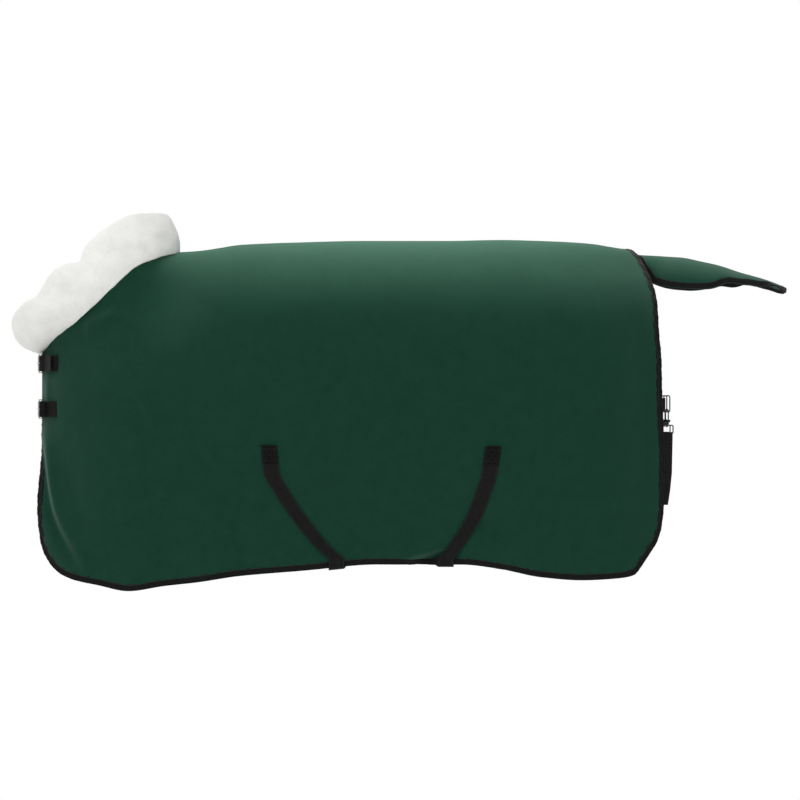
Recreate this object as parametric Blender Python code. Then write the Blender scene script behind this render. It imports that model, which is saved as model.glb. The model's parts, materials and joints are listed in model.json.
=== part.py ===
"""Turnout rug as it hangs on a standing horse: head at -X, tail at +X, near side at -Y.

The origin is the underside of the spine seam tape at mid back, which rests on the horse.
Metres, Z up.  Every soft piece is a plain solid of the right size and place.
"""
import math

import bpy
import numpy as np

# ---- overall sizes ----
BACK_LENGTH = 1.433        # withers to dock along the back
DROP = 1.016               # spine down to the hem at mid barrel
BARREL_HALF_WIDTH = 0.33   # centre line to the outside at the barrel
NECK_HALF_WIDTH = 0.165    # same, at the neckline

# ---- cloth, tape and webbing ----
CLOTH = 0.004              # body fleece with its lining
BINDING_WIDTH = 0.022
BINDING_THICK = 0.0046
CHEST_STEP = 0.0072        # how far the near panel stands over the off one at the chest
CHEST_OVERLAP = 0.075      # near panel past the centre line
SEAM_TAPE_WIDTH = 0.018
SEAM_TAPE_THICK = 0.0014
SEAM_GAP = 0.0009          # tape to the curved cloth above it
GAP = 0.0003               # between pieces that touch
WEBBING = 0.050            # strap width
WEB_THICK = 0.0022
COLLAR_THICK = 0.034

# ---- hardware ----
BUCKLE_LENGTH = 0.044
BUCKLE_ROD = 0.004
LEG_WEBBING = 0.038
LEG_RING_ROD = 0.004
HOOK_ROD = 0.005
SLIDE_ROD = 0.0035
HOOK_REACH = 0.062         # bar of the slotted plate to the bar of the T-hook
TIP_LENGTH = 0.052         # free end of a billet, past its hinge line
TIP_SWING = {"upper": 8.0, "lower": 42.0}   # degrees a free end stands off at rest

# ---- places, as (x, drop) on the nominal 1.433 x 1.016 rug; scaled by the sizes above ----
SPINE = [(-0.718, -0.035), (-0.646, -0.031), (-0.583, -0.022), (-0.520, -0.0125),
         (-0.330, -0.0045), (-0.130, 0.0), (0.130, 0.0), (0.300, 0.003), (0.425, 0.0),
         (0.551, -0.006), (0.614, -0.0125), (0.677, -0.022), (0.715, -0.028)]
NECKLINE = [(-1.136, -0.3465), (-1.1105, -0.3195), (-1.085, -0.2925), (-1.036, -0.256),
            (-0.954, -0.180), (-0.9135, -0.142), (-0.8726, -0.101), (-0.835, -0.073),
            (-0.800, -0.058), (-0.759, -0.044), (-0.718, -0.035)]
EDGE = [(-1.136, -0.3465), (-1.136, -0.400), (-1.135, -0.500), (-1.135, -0.570),
        (-1.138, -0.617), (-1.143, -0.665), (-1.149, -0.750), (-1.151, -0.854),
        (-1.144, -0.948), (-1.128, -0.995), (-1.087, -1.043), (-1.0395, -1.0647),
        (-0.964, -1.081), (-0.866, -1.0994), (-0.756, -1.0836), (-0.646, -1.071),
        (-0.520, -1.052), (-0.331, -1.036), (-0.079, -1.016), (0.173, -1.016),
        (0.299, -1.030), (0.425, -1.055), (0.551, -1.0647), (0.677, -1.058),
        (0.715, -1.049), (0.743, -1.015), (0.765, -0.982), (0.7875, -0.948),
        (0.804, -0.900), (0.8127, -0.822), (0.814, -0.700), (0.810, -0.600),
        (0.806, -0.490), (0.805, -0.380), (0.797, -0.287), (0.790, -0.192),
        (0.778, -0.139), (0.7466, -0.066), (0.728, -0.038), (0.715, -0.0285)]
CREST = [(-1.500, 0.600), (-1.100, 0.300), (-0.900, 0.125), (-0.790, 0.012),
         (-0.718, -0.035)] + SPINE[1:] + [(0.780, -0.048), (0.860, -0.120), (0.960, -0.400)]
BREAST = [(-1.150, -1.190), (-0.900, -1.182), (-0.750, -1.165), (-0.620, -1.141),
          (-0.570, -1.136), (-0.346, -1.136), (-0.200, -1.245), (0.100, -1.500)]
BUTTOCK = [(-1.100, 0.960), (-0.400, 0.940), (-0.250, 0.915), (-0.139, 0.875),
           (-0.030, 0.800), (0.100, 0.780)]
COLLAR_EDGE = [(-1.163, -0.352), (-1.200, -0.334), (-1.227, -0.302), (-1.236, -0.258),
               (-1.219, -0.222), (-1.190, -0.194), (-1.156, -0.178), (-1.139, -0.145),
               (-1.117, -0.113), (-1.068, -0.078), (-1.024, -0.066), (-1.005, -0.022),
               (-0.960, 0.023), (-0.904, 0.058), (-0.850, 0.080), (-0.800, 0.085),
               (-0.753, 0.085)]
FRONT_SURCINGLE = [(-0.424, -0.658), (-0.416, -0.731), (-0.381, -0.794), (-0.3465, -0.847),
                   (-0.299, -0.910), (-0.252, -0.964), (-0.215, -0.998)]
REAR_SURCINGLE = [(0.273, -0.661), (0.2615, -0.737), (0.239, -0.806), (0.214, -0.869),
                  (0.180, -0.926), (0.150, -0.970), (0.128, -0.998)]
FLAP_RIDGE = [(0.703, -0.0430), (0.740, -0.0445), (0.803, -0.0480), (0.866, -0.053),
              (0.929, -0.066), (0.992, -0.078), (1.055, -0.097), (1.118, -0.116),
              (1.181, -0.141), (1.203, -0.152)]
FLAP_DEPTH = [(0.703, 0.004), (0.740, 0.014), (0.775, 0.046), (0.810, 0.090), (0.866, 0.106),
              (0.929, 0.092), (0.992, 0.068), (1.060, 0.044), (1.120, 0.027),
              (1.180, 0.010), (1.203, 0.004)]
FLAP_HALF = [(0.703, 0.017), (0.740, 0.036), (0.775, 0.075), (0.810, 0.118), (0.870, 0.150),
             (0.930, 0.152), (1.000, 0.147), (1.100, 0.130), (1.160, 0.104), (1.190, 0.075),
             (1.203, 0.045)]
FLAP_HINGE = (0.723, -0.0460)
CLOSURE_HEIGHTS = {"upper": -0.386, "lower": -0.530}
LEG_RING_HEIGHT = -0.513
LEG_STRAP_FOOT = -0.830

SX = BACK_LENGTH / 1.433
SZ = DROP / 1.016
SY = BARREL_HALF_WIDTH / 0.33
TOP = CLOTH + SEAM_GAP + SEAM_TAPE_THICK   # height of the back's outside over the origin
NEAR, OFF = -1.0, 1.0
ROWS = 13


def scaled(points):
    """Side-view points of the nominal rug brought to this rug's size."""
    pts = np.array(points, float)
    return np.stack([pts[:, 0] * SX, TOP + pts[:, 1] * SZ], axis=1)


def smooth_line(points, across=0):
    """Monotone cubic through the points: flats stay flat and nothing overshoots."""
    pts = np.array(points, float)
    if across:
        pts = pts[:, ::-1]
    pts = pts[np.argsort(pts[:, 0])]
    xs, ys = pts.T
    step = np.diff(xs)
    slope = np.diff(ys) / step
    tangent = np.zeros_like(ys)
    a, b = slope[:-1], slope[1:]
    w1, w2 = 2 * step[1:] + step[:-1], step[1:] + 2 * step[:-1]
    same = a * b > 1e-12
    safe_a, safe_b = np.where(same, a, 1.0), np.where(same, b, 1.0)
    tangent[1:-1] = np.where(same, (w1 + w2) / (w1 / safe_a + w2 / safe_b), 0.0)
    tangent[0], tangent[-1] = slope[0], slope[-1]

    def at(x):
        x = np.asarray(x, float)
        i = np.clip(np.searchsorted(xs, x) - 1, 0, len(step) - 1)
        h = step[i]
        t = np.clip((x - xs[i]) / h, 0.0, 1.0)
        return ((1 + 2 * t) * (1 - t) ** 2 * ys[i] + t * (1 - t) ** 2 * h * tangent[i]
                + t * t * (3 - 2 * t) * ys[i + 1] + t * t * (t - 1) * h * tangent[i + 1])
    return at


def path_curve(points):
    """Smooth curve through side-view points, by share of its length from 0 to 1."""
    pts = np.array(points, float)
    along = np.concatenate([[0], np.cumsum(np.linalg.norm(np.diff(pts, axis=0), axis=1))])
    along /= along[-1]
    parts = [smooth_line(np.stack([along, pts[:, k]], axis=1)) for k in range(pts.shape[1])]
    return lambda u: np.stack([part(u) for part in parts], axis=-1)


SPINE_Z = smooth_line(scaled(SPINE))
CREST_Z = smooth_line(scaled(CREST))
BREAST_X = smooth_line([(TOP + z * SZ, x * SX) for z, x in BREAST])
BUTTOCK_X = smooth_line([(TOP + z * SZ, x * SX) for z, x in BUTTOCK])
NECKLINE_AT = path_curve(scaled(NECKLINE))
EDGE_AT = path_curve(scaled(EDGE))
SPINE_X = smooth_line([(0.20, -0.718), (0.44, -0.24), (0.60, 0.36), (0.68, 0.48),
                       (1.0, 0.600)])
STATIONS = np.concatenate([np.linspace(0, 0.15, 13), np.linspace(0.15, 1.0, 31)[1:]])
UPPER_HALF = smooth_line([(-1.30, 0.70), (-1.14, 0.80), (-0.95, 1.0), (-0.80, 1.2),
                          (-0.60, 1.6), (-0.30, 1.9), (0.0, 2.0)])
LOWER_HALF = smooth_line([(-1.20, 0.62), (-0.95, 0.76), (-0.70, 0.86), (-0.30, 0.96),
                          (0.0, 1.0), (0.30, 1.0), (0.55, 0.95), (0.90, 0.90)])


def ease(t):
    """Smooth step from 0 to 1."""
    t = np.clip(t, 0.0, 1.0)
    return t * t * (3 - 2 * t)


def quarter(t):
    """Quarter-ellipse rise from 0 to 1."""
    return np.sqrt(np.clip(1 - (1 - np.clip(t, 0.0, 1.0)) ** 2, 0.0, 1.0))


def half_width(x, z):
    """Half width of the dressed horse at a side-view place: full at the barrel, closing
    to nothing on the back, the breast and the buttock, drawn in a little at the hem."""
    xn, zn = x / SX, (z - TOP) / SZ
    upper = np.minimum(NECK_HALF_WIDTH * UPPER_HALF(xn), 10 * BARREL_HALF_WIDTH)
    lower = BARREL_HALF_WIDTH * LOWER_HALF(xn)
    upper = np.where(xn > -0.30, np.maximum(upper, lower), upper)
    share = ease((-0.12 - zn) / 0.38)
    full = upper + (lower - upper) * np.maximum(share, ease((xn + 0.72) / 0.4))
    back = quarter((CREST_Z(x) - z) / (0.38 * SZ))
    breast = quarter((x - BREAST_X(z)) / (0.35 * SX))
    buttock = quarter((BUTTOCK_X(z) - x) / (0.50 * SX))
    hem = 1 - 0.20 * ease((-0.42 - zn) / 0.62)
    girth = 1 - 0.16 * np.exp(-((xn + 0.04) / 0.26) ** 2) * ease((-0.62 - zn) / 0.40)
    return full * back * breast * buttock * hem * girth


def side_point(x, z, side, lift=0.0):
    """Point on the outside of the rug's side, lifted along the outward normal."""
    x, z = np.asarray(x, float), np.asarray(z, float)
    d = 0.002
    gx = (half_width(x + d, z) - half_width(x - d, z)) / (2 * d)
    gz = (half_width(x, z + d) - half_width(x, z - d)) / (2 * d)
    normal = np.stack([-gx, np.full_like(gx, side), -gz], axis=-1)
    normal /= np.linalg.norm(normal, axis=-1, keepdims=True)
    point = np.stack([x, side * half_width(x, z), z], axis=-1)
    return point + normal * lift, normal


# ---- mesh helpers ----
def add_mesh(name, verts, faces, material, smooth=False, origin=(0, 0, 0)):
    """One mesh object; the origin goes on its joint axis when the piece moves."""
    verts = np.asarray(verts, float) - np.array(origin, float)
    mesh = bpy.data.meshes.new(name)
    mesh.from_pydata(verts.tolist(), [], [list(map(int, face)) for face in faces])
    mesh.polygons.foreach_set("use_smooth", [smooth] * len(mesh.polygons))
    mesh.materials.append(material)
    mesh.update()
    item = bpy.data.objects.new(name, mesh)
    item.location = origin
    bpy.context.scene.collection.objects.link(item)
    return item


def paint(name, colour, roughness, metallic=0.0):
    """Plain Principled material of its own for one object."""
    material = bpy.data.materials.new(name)
    material.use_nodes = True
    shader = material.node_tree.nodes["Principled BSDF"]
    shader.inputs["Base Color"].default_value = (*colour, 1)
    shader.inputs["Roughness"].default_value = roughness
    shader.inputs["Metallic"].default_value = metallic
    return material


GREEN = ((0.010, 0.042, 0.027), 0.95)
BLACK = ((0.010, 0.011, 0.010), 0.85)
WHITE = ((0.86, 0.86, 0.83), 1.0)
STEEL = ((0.55, 0.56, 0.57), 0.30, 1.0)
DARK_STEEL = ((0.03, 0.03, 0.03), 0.45, 0.6)


def skin_faces(rows, columns, closed=False):
    """Faces of a slab made of an outer and an inner grid, rims included."""
    outer = np.arange(rows * columns).reshape(rows, columns)
    inner = outer + rows * columns
    if closed:
        outer = np.vstack([outer, outer[:1]])
        inner = np.vstack([inner, inner[:1]])

    def quads(grid):
        return np.stack([grid[:-1, :-1], grid[1:, :-1], grid[1:, 1:], grid[:-1, 1:]],
                        axis=-1).reshape(-1, 4)

    def rim(a, b):
        return np.stack([a[:-1], b[:-1], b[1:], a[1:]], axis=-1)
    faces = [quads(outer), quads(inner)[:, ::-1],
             rim(outer[:, 0], inner[:, 0]), rim(outer[:, -1], inner[:, -1])[:, ::-1]]
    if not closed:
        faces += [rim(outer[0], inner[0])[:, ::-1], rim(outer[-1], inner[-1])]
    return np.concatenate(faces)


def grid_normals(grid):
    """Unit normals of a grid of points, from its own steps both ways."""
    along = np.gradient(grid, axis=0)
    across = np.gradient(grid, axis=1)
    normal = np.cross(along, across)
    return normal / np.maximum(np.linalg.norm(normal, axis=-1, keepdims=True), 1e-12)


def face_out(faces, verts):
    """Turn all faces round when the body they close has a negative volume."""
    volume = 0.0
    for k in range(1, faces.shape[1] - 1):
        a, b, c = verts[faces[:, 0]], verts[faces[:, k]], verts[faces[:, k + 1]]
        volume += np.einsum("ij,ij->i", a, np.cross(b, c)).sum()
    return faces if volume > 0 else faces[:, ::-1]


def slab(name, outer, inner, material, closed=False, smooth=True, origin=(0, 0, 0)):
    """Closed solid between two grids of the same shape."""
    rows, columns = outer.shape[:2]
    verts = np.concatenate([outer.reshape(-1, 3), inner.reshape(-1, 3)])
    faces = face_out(skin_faces(rows, columns, closed), verts)
    return add_mesh(name, verts, faces, material, smooth, origin)


def tube(path, radius, sides=8, closed=False, first=(0, 0, 1)):
    """Vertices and faces of a round rod along a path, with a steady frame."""
    pts = np.array(path, float)
    count = len(pts)
    if closed:
        ahead = np.roll(pts, -1, axis=0) - np.roll(pts, 1, axis=0)
    else:
        ahead = np.gradient(pts, axis=0)
    ahead /= np.linalg.norm(ahead, axis=1, keepdims=True)
    up = np.array(first, float)
    ups = []
    for t in ahead:
        up = up - t * np.dot(up, t)
        up /= np.linalg.norm(up)
        ups.append(up)
    ups = np.array(ups)
    side = np.cross(ahead, ups)
    angle = np.arange(sides) * 2 * math.pi / sides
    ring = (ups[:, None] * np.cos(angle)[None, :, None]
            + side[:, None] * np.sin(angle)[None, :, None]) * radius
    verts = (pts[:, None] + ring).reshape(-1, 3)
    index = np.arange(count * sides).reshape(count, sides)
    nxt = np.roll(index, -1, axis=1)
    if closed:
        a, b, c, d = index, np.roll(index, -1, axis=0), np.roll(nxt, -1, axis=0), nxt
    else:
        a, b, c, d = index[:-1], index[1:], nxt[1:], nxt[:-1]
    faces = np.stack([a, b, c, d], axis=-1).reshape(-1, 4)
    caps = [] if closed else [list(index[0]), list(index[-1][::-1])]
    faces = [list(face) for face in faces] + caps
    return verts, faces


def rod(name, path, radius, material, sides=8, closed=False, first=(0, 0, 1),
        origin=(0, 0, 0)):
    """Round rod object along a path."""
    verts, faces = tube(path, radius, sides, closed, first)
    quads = np.array([face for face in faces if len(face) == 4])
    if face_out(quads, verts - np.mean(path, axis=0))[0, 0] != quads[0, 0]:
        faces = [face[::-1] for face in faces]
    return add_mesh(name, verts, faces, material, True, origin)


def strip(name, centre, normal, width, thick, material, across=None, origin=(0, 0, 0)):
    """Flat webbing along a path: the path is its mid thickness, the normal its face."""
    centre, normal = np.array(centre, float), np.array(normal, float)
    if across is None:
        ahead = np.gradient(centre, axis=0)
        across = np.cross(normal, ahead)
    across = across / np.linalg.norm(across, axis=1, keepdims=True)
    normal = normal / np.linalg.norm(normal, axis=1, keepdims=True)
    rows = []
    for half in (0.5, -0.5):
        edge = [centre + across * width * w + normal * thick * half for w in (-0.5, 0.5)]
        rows.append(np.stack(edge, axis=1))
    return slab(name, rows[0], rows[1], material, smooth=False, origin=origin)


def prism(name, place, a, b, c, material):
    """Block between two values on each of a piece's own three axes."""
    corners = np.array([place(i, j, k) for i in a for j in b for k in c])
    faces = np.array([(0, 1, 3, 2), (4, 6, 7, 5), (0, 4, 5, 1), (2, 3, 7, 6), (0, 2, 6, 4),
                      (1, 5, 7, 3)])
    return add_mesh(name, corners, face_out(faces, corners - corners.mean(axis=0)), material)


def lathe(name, place, profile, material, sides=12, origin=(0, 0, 0)):
    """Solid of revolution about a piece's own upright axis; the profile starts and ends
    on the axis."""
    rings = profile[1:-1]
    turns = np.arange(sides) * 2 * math.pi / sides
    verts = [place(0, profile[0][1], 0)]
    for radius, b in rings:
        verts += [place(radius * math.cos(t), b, radius * math.sin(t)) for t in turns]
    verts.append(place(0, profile[-1][1], 0))
    verts = np.array(verts)
    faces = []
    for k in range(sides):
        nxt = (k + 1) % sides
        faces.append((0, 1 + k, 1 + nxt))
        for ring in range(len(rings) - 1):
            low, high = 1 + ring * sides, 1 + (ring + 1) * sides
            faces.append((low + k, high + k, high + nxt, low + nxt))
        top = 1 + (len(rings) - 1) * sides
        faces.append((len(verts) - 1, top + nxt, top + k))
    middle = verts.mean(axis=0)
    volume = 0.0
    for face in faces:
        for k in range(1, len(face) - 1):
            a, b, c = (verts[face[n]] - middle for n in (0, k, k + 1))
            volume += float(np.dot(a, np.cross(b, c)))
    if volume < 0:
        faces = [face[::-1] for face in faces]
    return add_mesh(name, verts, faces, material, True, origin)


def cut(item, cutter):
    """Take a hidden tool away from an object."""
    step = item.modifiers.new("cut", "BOOLEAN")
    step.operation = "DIFFERENCE"
    step.solver = "EXACT"
    step.object = cutter
    cutter.hide_render = True
    cutter.display_type = "WIRE"


def join(item, other):
    """Make one body of an object and a hidden one."""
    step = item.modifiers.new("join", "BOOLEAN")
    step.operation = "UNION"
    step.solver = "EXACT"
    step.object = other
    other.hide_render = True
    other.display_type = "WIRE"


# ---- the rug's own surface ----
def column_ends(u):
    """Side-view ends of a column: neckline or spine above, bound edge below."""
    u = np.asarray(u, float)
    neck = NECKLINE_AT(0.14 + 0.86 * np.clip(u / 0.20, 0, 1))
    spine_x = SPINE_X(np.clip(u, 0.20, 1)) * SX
    spine = np.stack([spine_x, SPINE_Z(spine_x)], axis=-1)
    return np.where((u < 0.20)[..., None], neck, spine), EDGE_AT(u)


def column(u, side, wrap):
    """Fine polyline of one column from its top to the bound edge, run on past the
    centre line of the breast by the wrap."""
    top, foot = column_ends(np.array([u]))
    count = 240
    v = 0.5 - 0.5 * np.cos(np.linspace(0, math.pi, count))
    plan = top[0] + (foot[0] - top[0]) * v[:, None]
    width = half_width(plan[:, 0], plan[:, 1])
    if u >= 0.2:
        width = np.maximum(width, GAP)
    pts = np.stack([plan[:, 0], side * width, plan[:, 1]], axis=1)
    if wrap > 0:
        back = pts[::-1][1:] * np.array([1, -1, 1])
        run = np.cumsum(np.linalg.norm(np.diff(np.vstack([pts[-1:], back]), axis=0), axis=1))
        keep = back[run < wrap]
        pts = np.vstack([pts, keep])
    return pts


def rug_grid(side):
    """Outer grid of one side panel and of its binding, as columns by rows.

    Each column is measured along the cloth; its last part is the binding, 22 mm wide
    square to the edge, so longer on a column that meets the edge at a slant."""
    columns = []
    for u in STATIONS:
        wrap = CHEST_OVERLAP * float(ease((0.115 - u) / 0.09)) if side == NEAR else 0.0
        columns.append(column(u, side, wrap))
    ends = np.array([pts[-1] for pts in columns])
    along_edge = np.gradient(ends, axis=0)
    along_edge /= np.linalg.norm(along_edge, axis=1, keepdims=True)
    panel, edge = [], []
    for pts, tangent in zip(columns, along_edge):
        run = np.concatenate([[0], np.cumsum(np.linalg.norm(np.diff(pts, axis=0), axis=1))])
        near = [np.interp(run[-1] - 0.02, run, pts[:, k]) for k in range(3)]
        inward = np.array(near) - pts[-1]
        inward /= np.linalg.norm(inward)
        slant = max(math.sqrt(max(1 - float(inward @ tangent) ** 2, 0.0)), 0.2)
        last = run[-1] - min(BINDING_WIDTH / slant, 0.7 * run[-1])
        share = np.linspace(0, 1, ROWS)
        share = 0.25 * share + 0.75 * (0.5 - 0.5 * np.cos(share * math.pi))
        rows = (last - 2.4 * GAP / slant) * share
        panel.append([np.interp(rows, run, pts[:, k]) for k in range(3)])
        pair = np.array([last, run[-1]])
        edge.append([np.interp(pair, run, pts[:, k]) for k in range(3)])
    return (np.array(panel).transpose(0, 2, 1), np.array(edge).transpose(0, 2, 1))


def chest_lift(points, side):
    """How far the near panel rides up over the off panel around the breast."""
    if side == OFF:
        return np.zeros(points.shape[:2])
    ahead = points[..., 0] - BREAST_X(points[..., 2])
    past = points[..., 1] > 0
    return CHEST_STEP * np.where(past & (ahead < 0.2), 1.0, ease((0.16 - ahead) / 0.12))


def outward(points, side):
    """Unit normals of the rug's outside at grid points; the side is read from y, so the
    near panel's run past the centre line faces the right way."""
    x = np.maximum(points[..., 0], BREAST_X(points[..., 2]) + 0.002)
    z = np.minimum(points[..., 2], CREST_Z(x) - 0.002)
    d = 0.0015
    gx = (half_width(x + d, z) - half_width(x - d, z)) / (2 * d)
    gz = (half_width(x, z + d) - half_width(x, z - d)) / (2 * d)
    way = np.where(points[..., 1] * side > -0.004, side, -side)
    normal = np.stack([-gx, way, -gz], axis=-1)
    return normal / np.linalg.norm(normal, axis=-1, keepdims=True)


def side_panel(side, name, edge_name):
    """One side of the rug and the binding round its edge."""
    panel, edge = rug_grid(side)
    both = np.concatenate([panel, edge], axis=1)
    normal = outward(both, side)
    both = both + normal * chest_lift(both, side)[..., None]
    rows = panel.shape[1]
    outer, inner = both[:, :rows], both[:, :rows] - normal[:, :rows] * CLOTH
    spine = STATIONS >= 0.2
    for skin in (outer, inner):
        skin[spine, :, 1] = side * np.maximum(skin[spine, :, 1] * side, 0.7 * GAP)
    slab(name, outer, inner, paint(name, *GREEN))
    proud = (BINDING_THICK - CLOTH) / 2
    band = both[:, rows:] + normal[:, rows:] * proud
    under = band - normal[:, rows:] * BINDING_THICK
    for skin in (band, under):
        skin[spine, :, 1] = side * np.maximum(skin[spine, :, 1] * side, 0.7 * GAP)
    slab(edge_name, band, under, paint(edge_name, *BLACK))


def spine_seam_tape():
    """Tape under the spine seam; its flat underside at mid back is the origin."""
    x = SPINE_X(STATIONS[STATIONS >= 0.2]) * SX
    z = SPINE_Z(x) - CLOTH - SEAM_GAP - SEAM_TAPE_THICK / 2
    centre = np.stack([x, np.zeros_like(x), z], axis=1)[3:]
    normal = np.tile([0.0, 0.0, 1.0], (len(centre), 1))
    across = np.tile([0.0, 1.0, 0.0], (len(centre), 1))
    strip("spine_seam_tape", centre, normal, SEAM_TAPE_WIDTH, SEAM_TAPE_THICK,
          paint("spine_seam_tape", *BLACK), across)


def neck_collar():
    """Fleece collar: one padded band from the near end of the neckline over the withers
    to the off end, standing up the neck."""
    panel, edge = rug_grid(OFF)
    first = np.concatenate([panel[0], edge[0]])[::-1]
    rest = panel[(STATIONS > 0) & (STATIONS < 0.2), 0]
    base = np.concatenate([first, rest, [[NECKLINE_AT(1.0)[0], 0.0, NECKLINE_AT(1.0)[1]]]])
    base = base[base[:, 1] > 0.026]
    base = np.vstack([base, [[NECKLINE_AT(1.0)[0], 0.0, NECKLINE_AT(1.0)[1]]]])
    run = np.concatenate([[0], np.cumsum(np.linalg.norm(np.diff(base[:, ::2], axis=0), axis=1))])
    a = run / run[-1]
    tip = path_curve(scaled(COLLAR_EDGE))(a)
    shares = np.linspace(0, 1, 5)
    half = []
    for b in shares:
        plan = base[:, ::2] + (tip - base[:, ::2]) * b
        half.append(np.stack([plan[:, 0], base[:, 1] * (1 - 0.10 * b), plan[:, 1]], axis=1))
    half = np.array(half).transpose(1, 0, 2)
    start = half[:, 1] - half[:, 0]
    start /= np.linalg.norm(start, axis=1, keepdims=True)
    half[:, 0] += start * (0.0012 + 0.0110 * ease((0.26 - a) / 0.12))[:, None]
    half[:, :, 2] += 0.0060 * ease((0.24 - a) / 0.12)[:, None]
    whole = np.concatenate([half, half[-2::-1] * np.array([1, -1, 1])], axis=0)
    along = np.concatenate([a, a[-2::-1]])
    normal = grid_normals(whole)
    if normal[len(a) // 2, 2, 1] < 0:
        normal = -normal
    bulge = np.sin(math.pi * (0.04 + 0.88 * shares))
    ends = 0.35 + 0.65 * ease(along / 0.12)
    push = 0.45 * COLLAR_THICK * bulge * (ends * ease((1.02 - along) / 0.3))[:, None]
    depth = COLLAR_THICK * bulge * ends[:, None]
    push[:, 0], depth[:, 0] = -0.0004, CLOTH - 0.0008
    outer = whole + normal * push[..., None]
    inner = outer - normal * depth[..., None]
    slab("neck_collar", outer, inner, paint("neck_collar", *WHITE))


# ---- tail flap ----
def tail_flap():
    """Arched flap over the tail and its bound edge, hinged at the dock."""
    ridge, depth, half = (smooth_line(points) for points in
                          (FLAP_RIDGE, FLAP_DEPTH, FLAP_HALF))
    hinge = (FLAP_HINGE[0] * SX, 0.0, TOP + FLAP_HINGE[1] * SZ)

    def place(x, t):
        y = half(x) * np.sin(t * math.pi / 2) * SY
        z = TOP + (ridge(x) - depth(x) * (1 - np.cos(t * math.pi / 2))) * SZ
        return np.stack([x * SX, y, z], axis=-1)
    xs = np.array([0.703, 0.74, 0.775, 0.81, 0.85, 0.90, 0.96, 1.02, 1.08, 1.13, 1.165, 1.183])
    margin = 0.86
    ts = np.linspace(-margin, margin, 9)
    xx, tt = np.meshgrid(xs, ts, indexing="ij")

    def up_at(x, t):
        d = 0.002
        normal = np.cross(place(x + d, t) - place(x - d, t), place(x, t + d) - place(x, t - d))
        return normal / np.linalg.norm(normal, axis=-1, keepdims=True)
    grid, normal = place(xx, tt), up_at(xx, tt)
    slab("tail_flap", grid, grid - normal * CLOTH, paint("tail_flap", *GREEN), origin=hinge)
    gap_x = 0.0008
    tip = 1.203
    bend = margin * math.pi / 2
    rate = np.hypot(half(xs) * math.cos(bend), depth(xs) * math.sin(bend)) * math.pi / 2
    near = [(x, -1.0, x, -margin - gap) for x, gap in zip(xs, 0.0012 / rate)]
    gap_t = 0.0012 / rate[-1]
    end = [(tip, t / 0.86, xs[-1] + gap_x, t) for t in ts[1:-1]]
    corner = [(1.197, -1.0, xs[-1] + gap_x, -margin - gap_t)]
    off = [(x, -t, xi, -ti) for x, t, xi, ti in (near + corner)[::-1]]
    route = np.array(near + corner + end + off)
    outer_edge = place(route[:, 0], route[:, 1])
    inner_edge = place(route[:, 2], route[:, 3])
    band = np.stack([inner_edge, outer_edge], axis=1)
    up = up_at(np.minimum(route[:, 2], 1.19), np.clip(route[:, 3], -0.9, 0.9))[:, None]
    proud = (BINDING_THICK - CLOTH) / 2
    band = band + up * proud
    slab("tail_flap_binding", band, band - up * BINDING_THICK,
         paint("tail_flap_binding", *BLACK), origin=hinge)


# ---- chest closures ----
def chest_curve(height):
    """Places round the breast at one height, by distance from the centre line, the near
    side positive: the off panel's outside."""
    z = TOP + height * SZ
    front = float(BREAST_X(z))
    turn = np.linspace(-1.2, 1.2, 601)
    x = front + 0.35 * SX * (1 - np.cos(turn))
    reach = WEBBING / 2 - 0.002
    width = np.max([half_width(x, np.full_like(x, z + dz)) for dz in (-reach, 0, reach)], axis=0)
    y = -np.sign(turn) * width
    step = np.hypot(np.diff(x), np.diff(y))
    run = np.concatenate([[0], np.cumsum(step)])
    run -= run[300]
    ahead = np.stack([np.gradient(x, run), np.gradient(y, run)], axis=1)

    def at(s, lift):
        s = np.atleast_1d(np.asarray(s, float))
        point = np.stack([np.interp(s, run, x), np.interp(s, run, y)], axis=1)
        tangent = np.stack([np.interp(s, run, ahead[:, k]) for k in (0, 1)], axis=1)
        tangent /= np.linalg.norm(tangent, axis=1, keepdims=True)
        normal = np.stack([tangent[:, 1], -tangent[:, 0]], axis=1)
        if normal[0, 0] > 0:
            normal = -normal
        return point + normal * np.atleast_1d(lift)[:, None], tangent, normal
    return at, z


def plan_strip(name, path, z, width, thick, material, origin=(0, 0, 0)):
    """Upright webbing along a path in plan."""
    path = np.array(path, float)
    centre = np.column_stack([path, np.full(len(path), z)])
    ahead = np.gradient(centre, axis=0)
    across = np.tile([0.0, 0.0, 1.0], (len(path), 1))
    return strip(name, centre, np.cross(ahead, across), width, thick, material, across,
                 origin)


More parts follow.
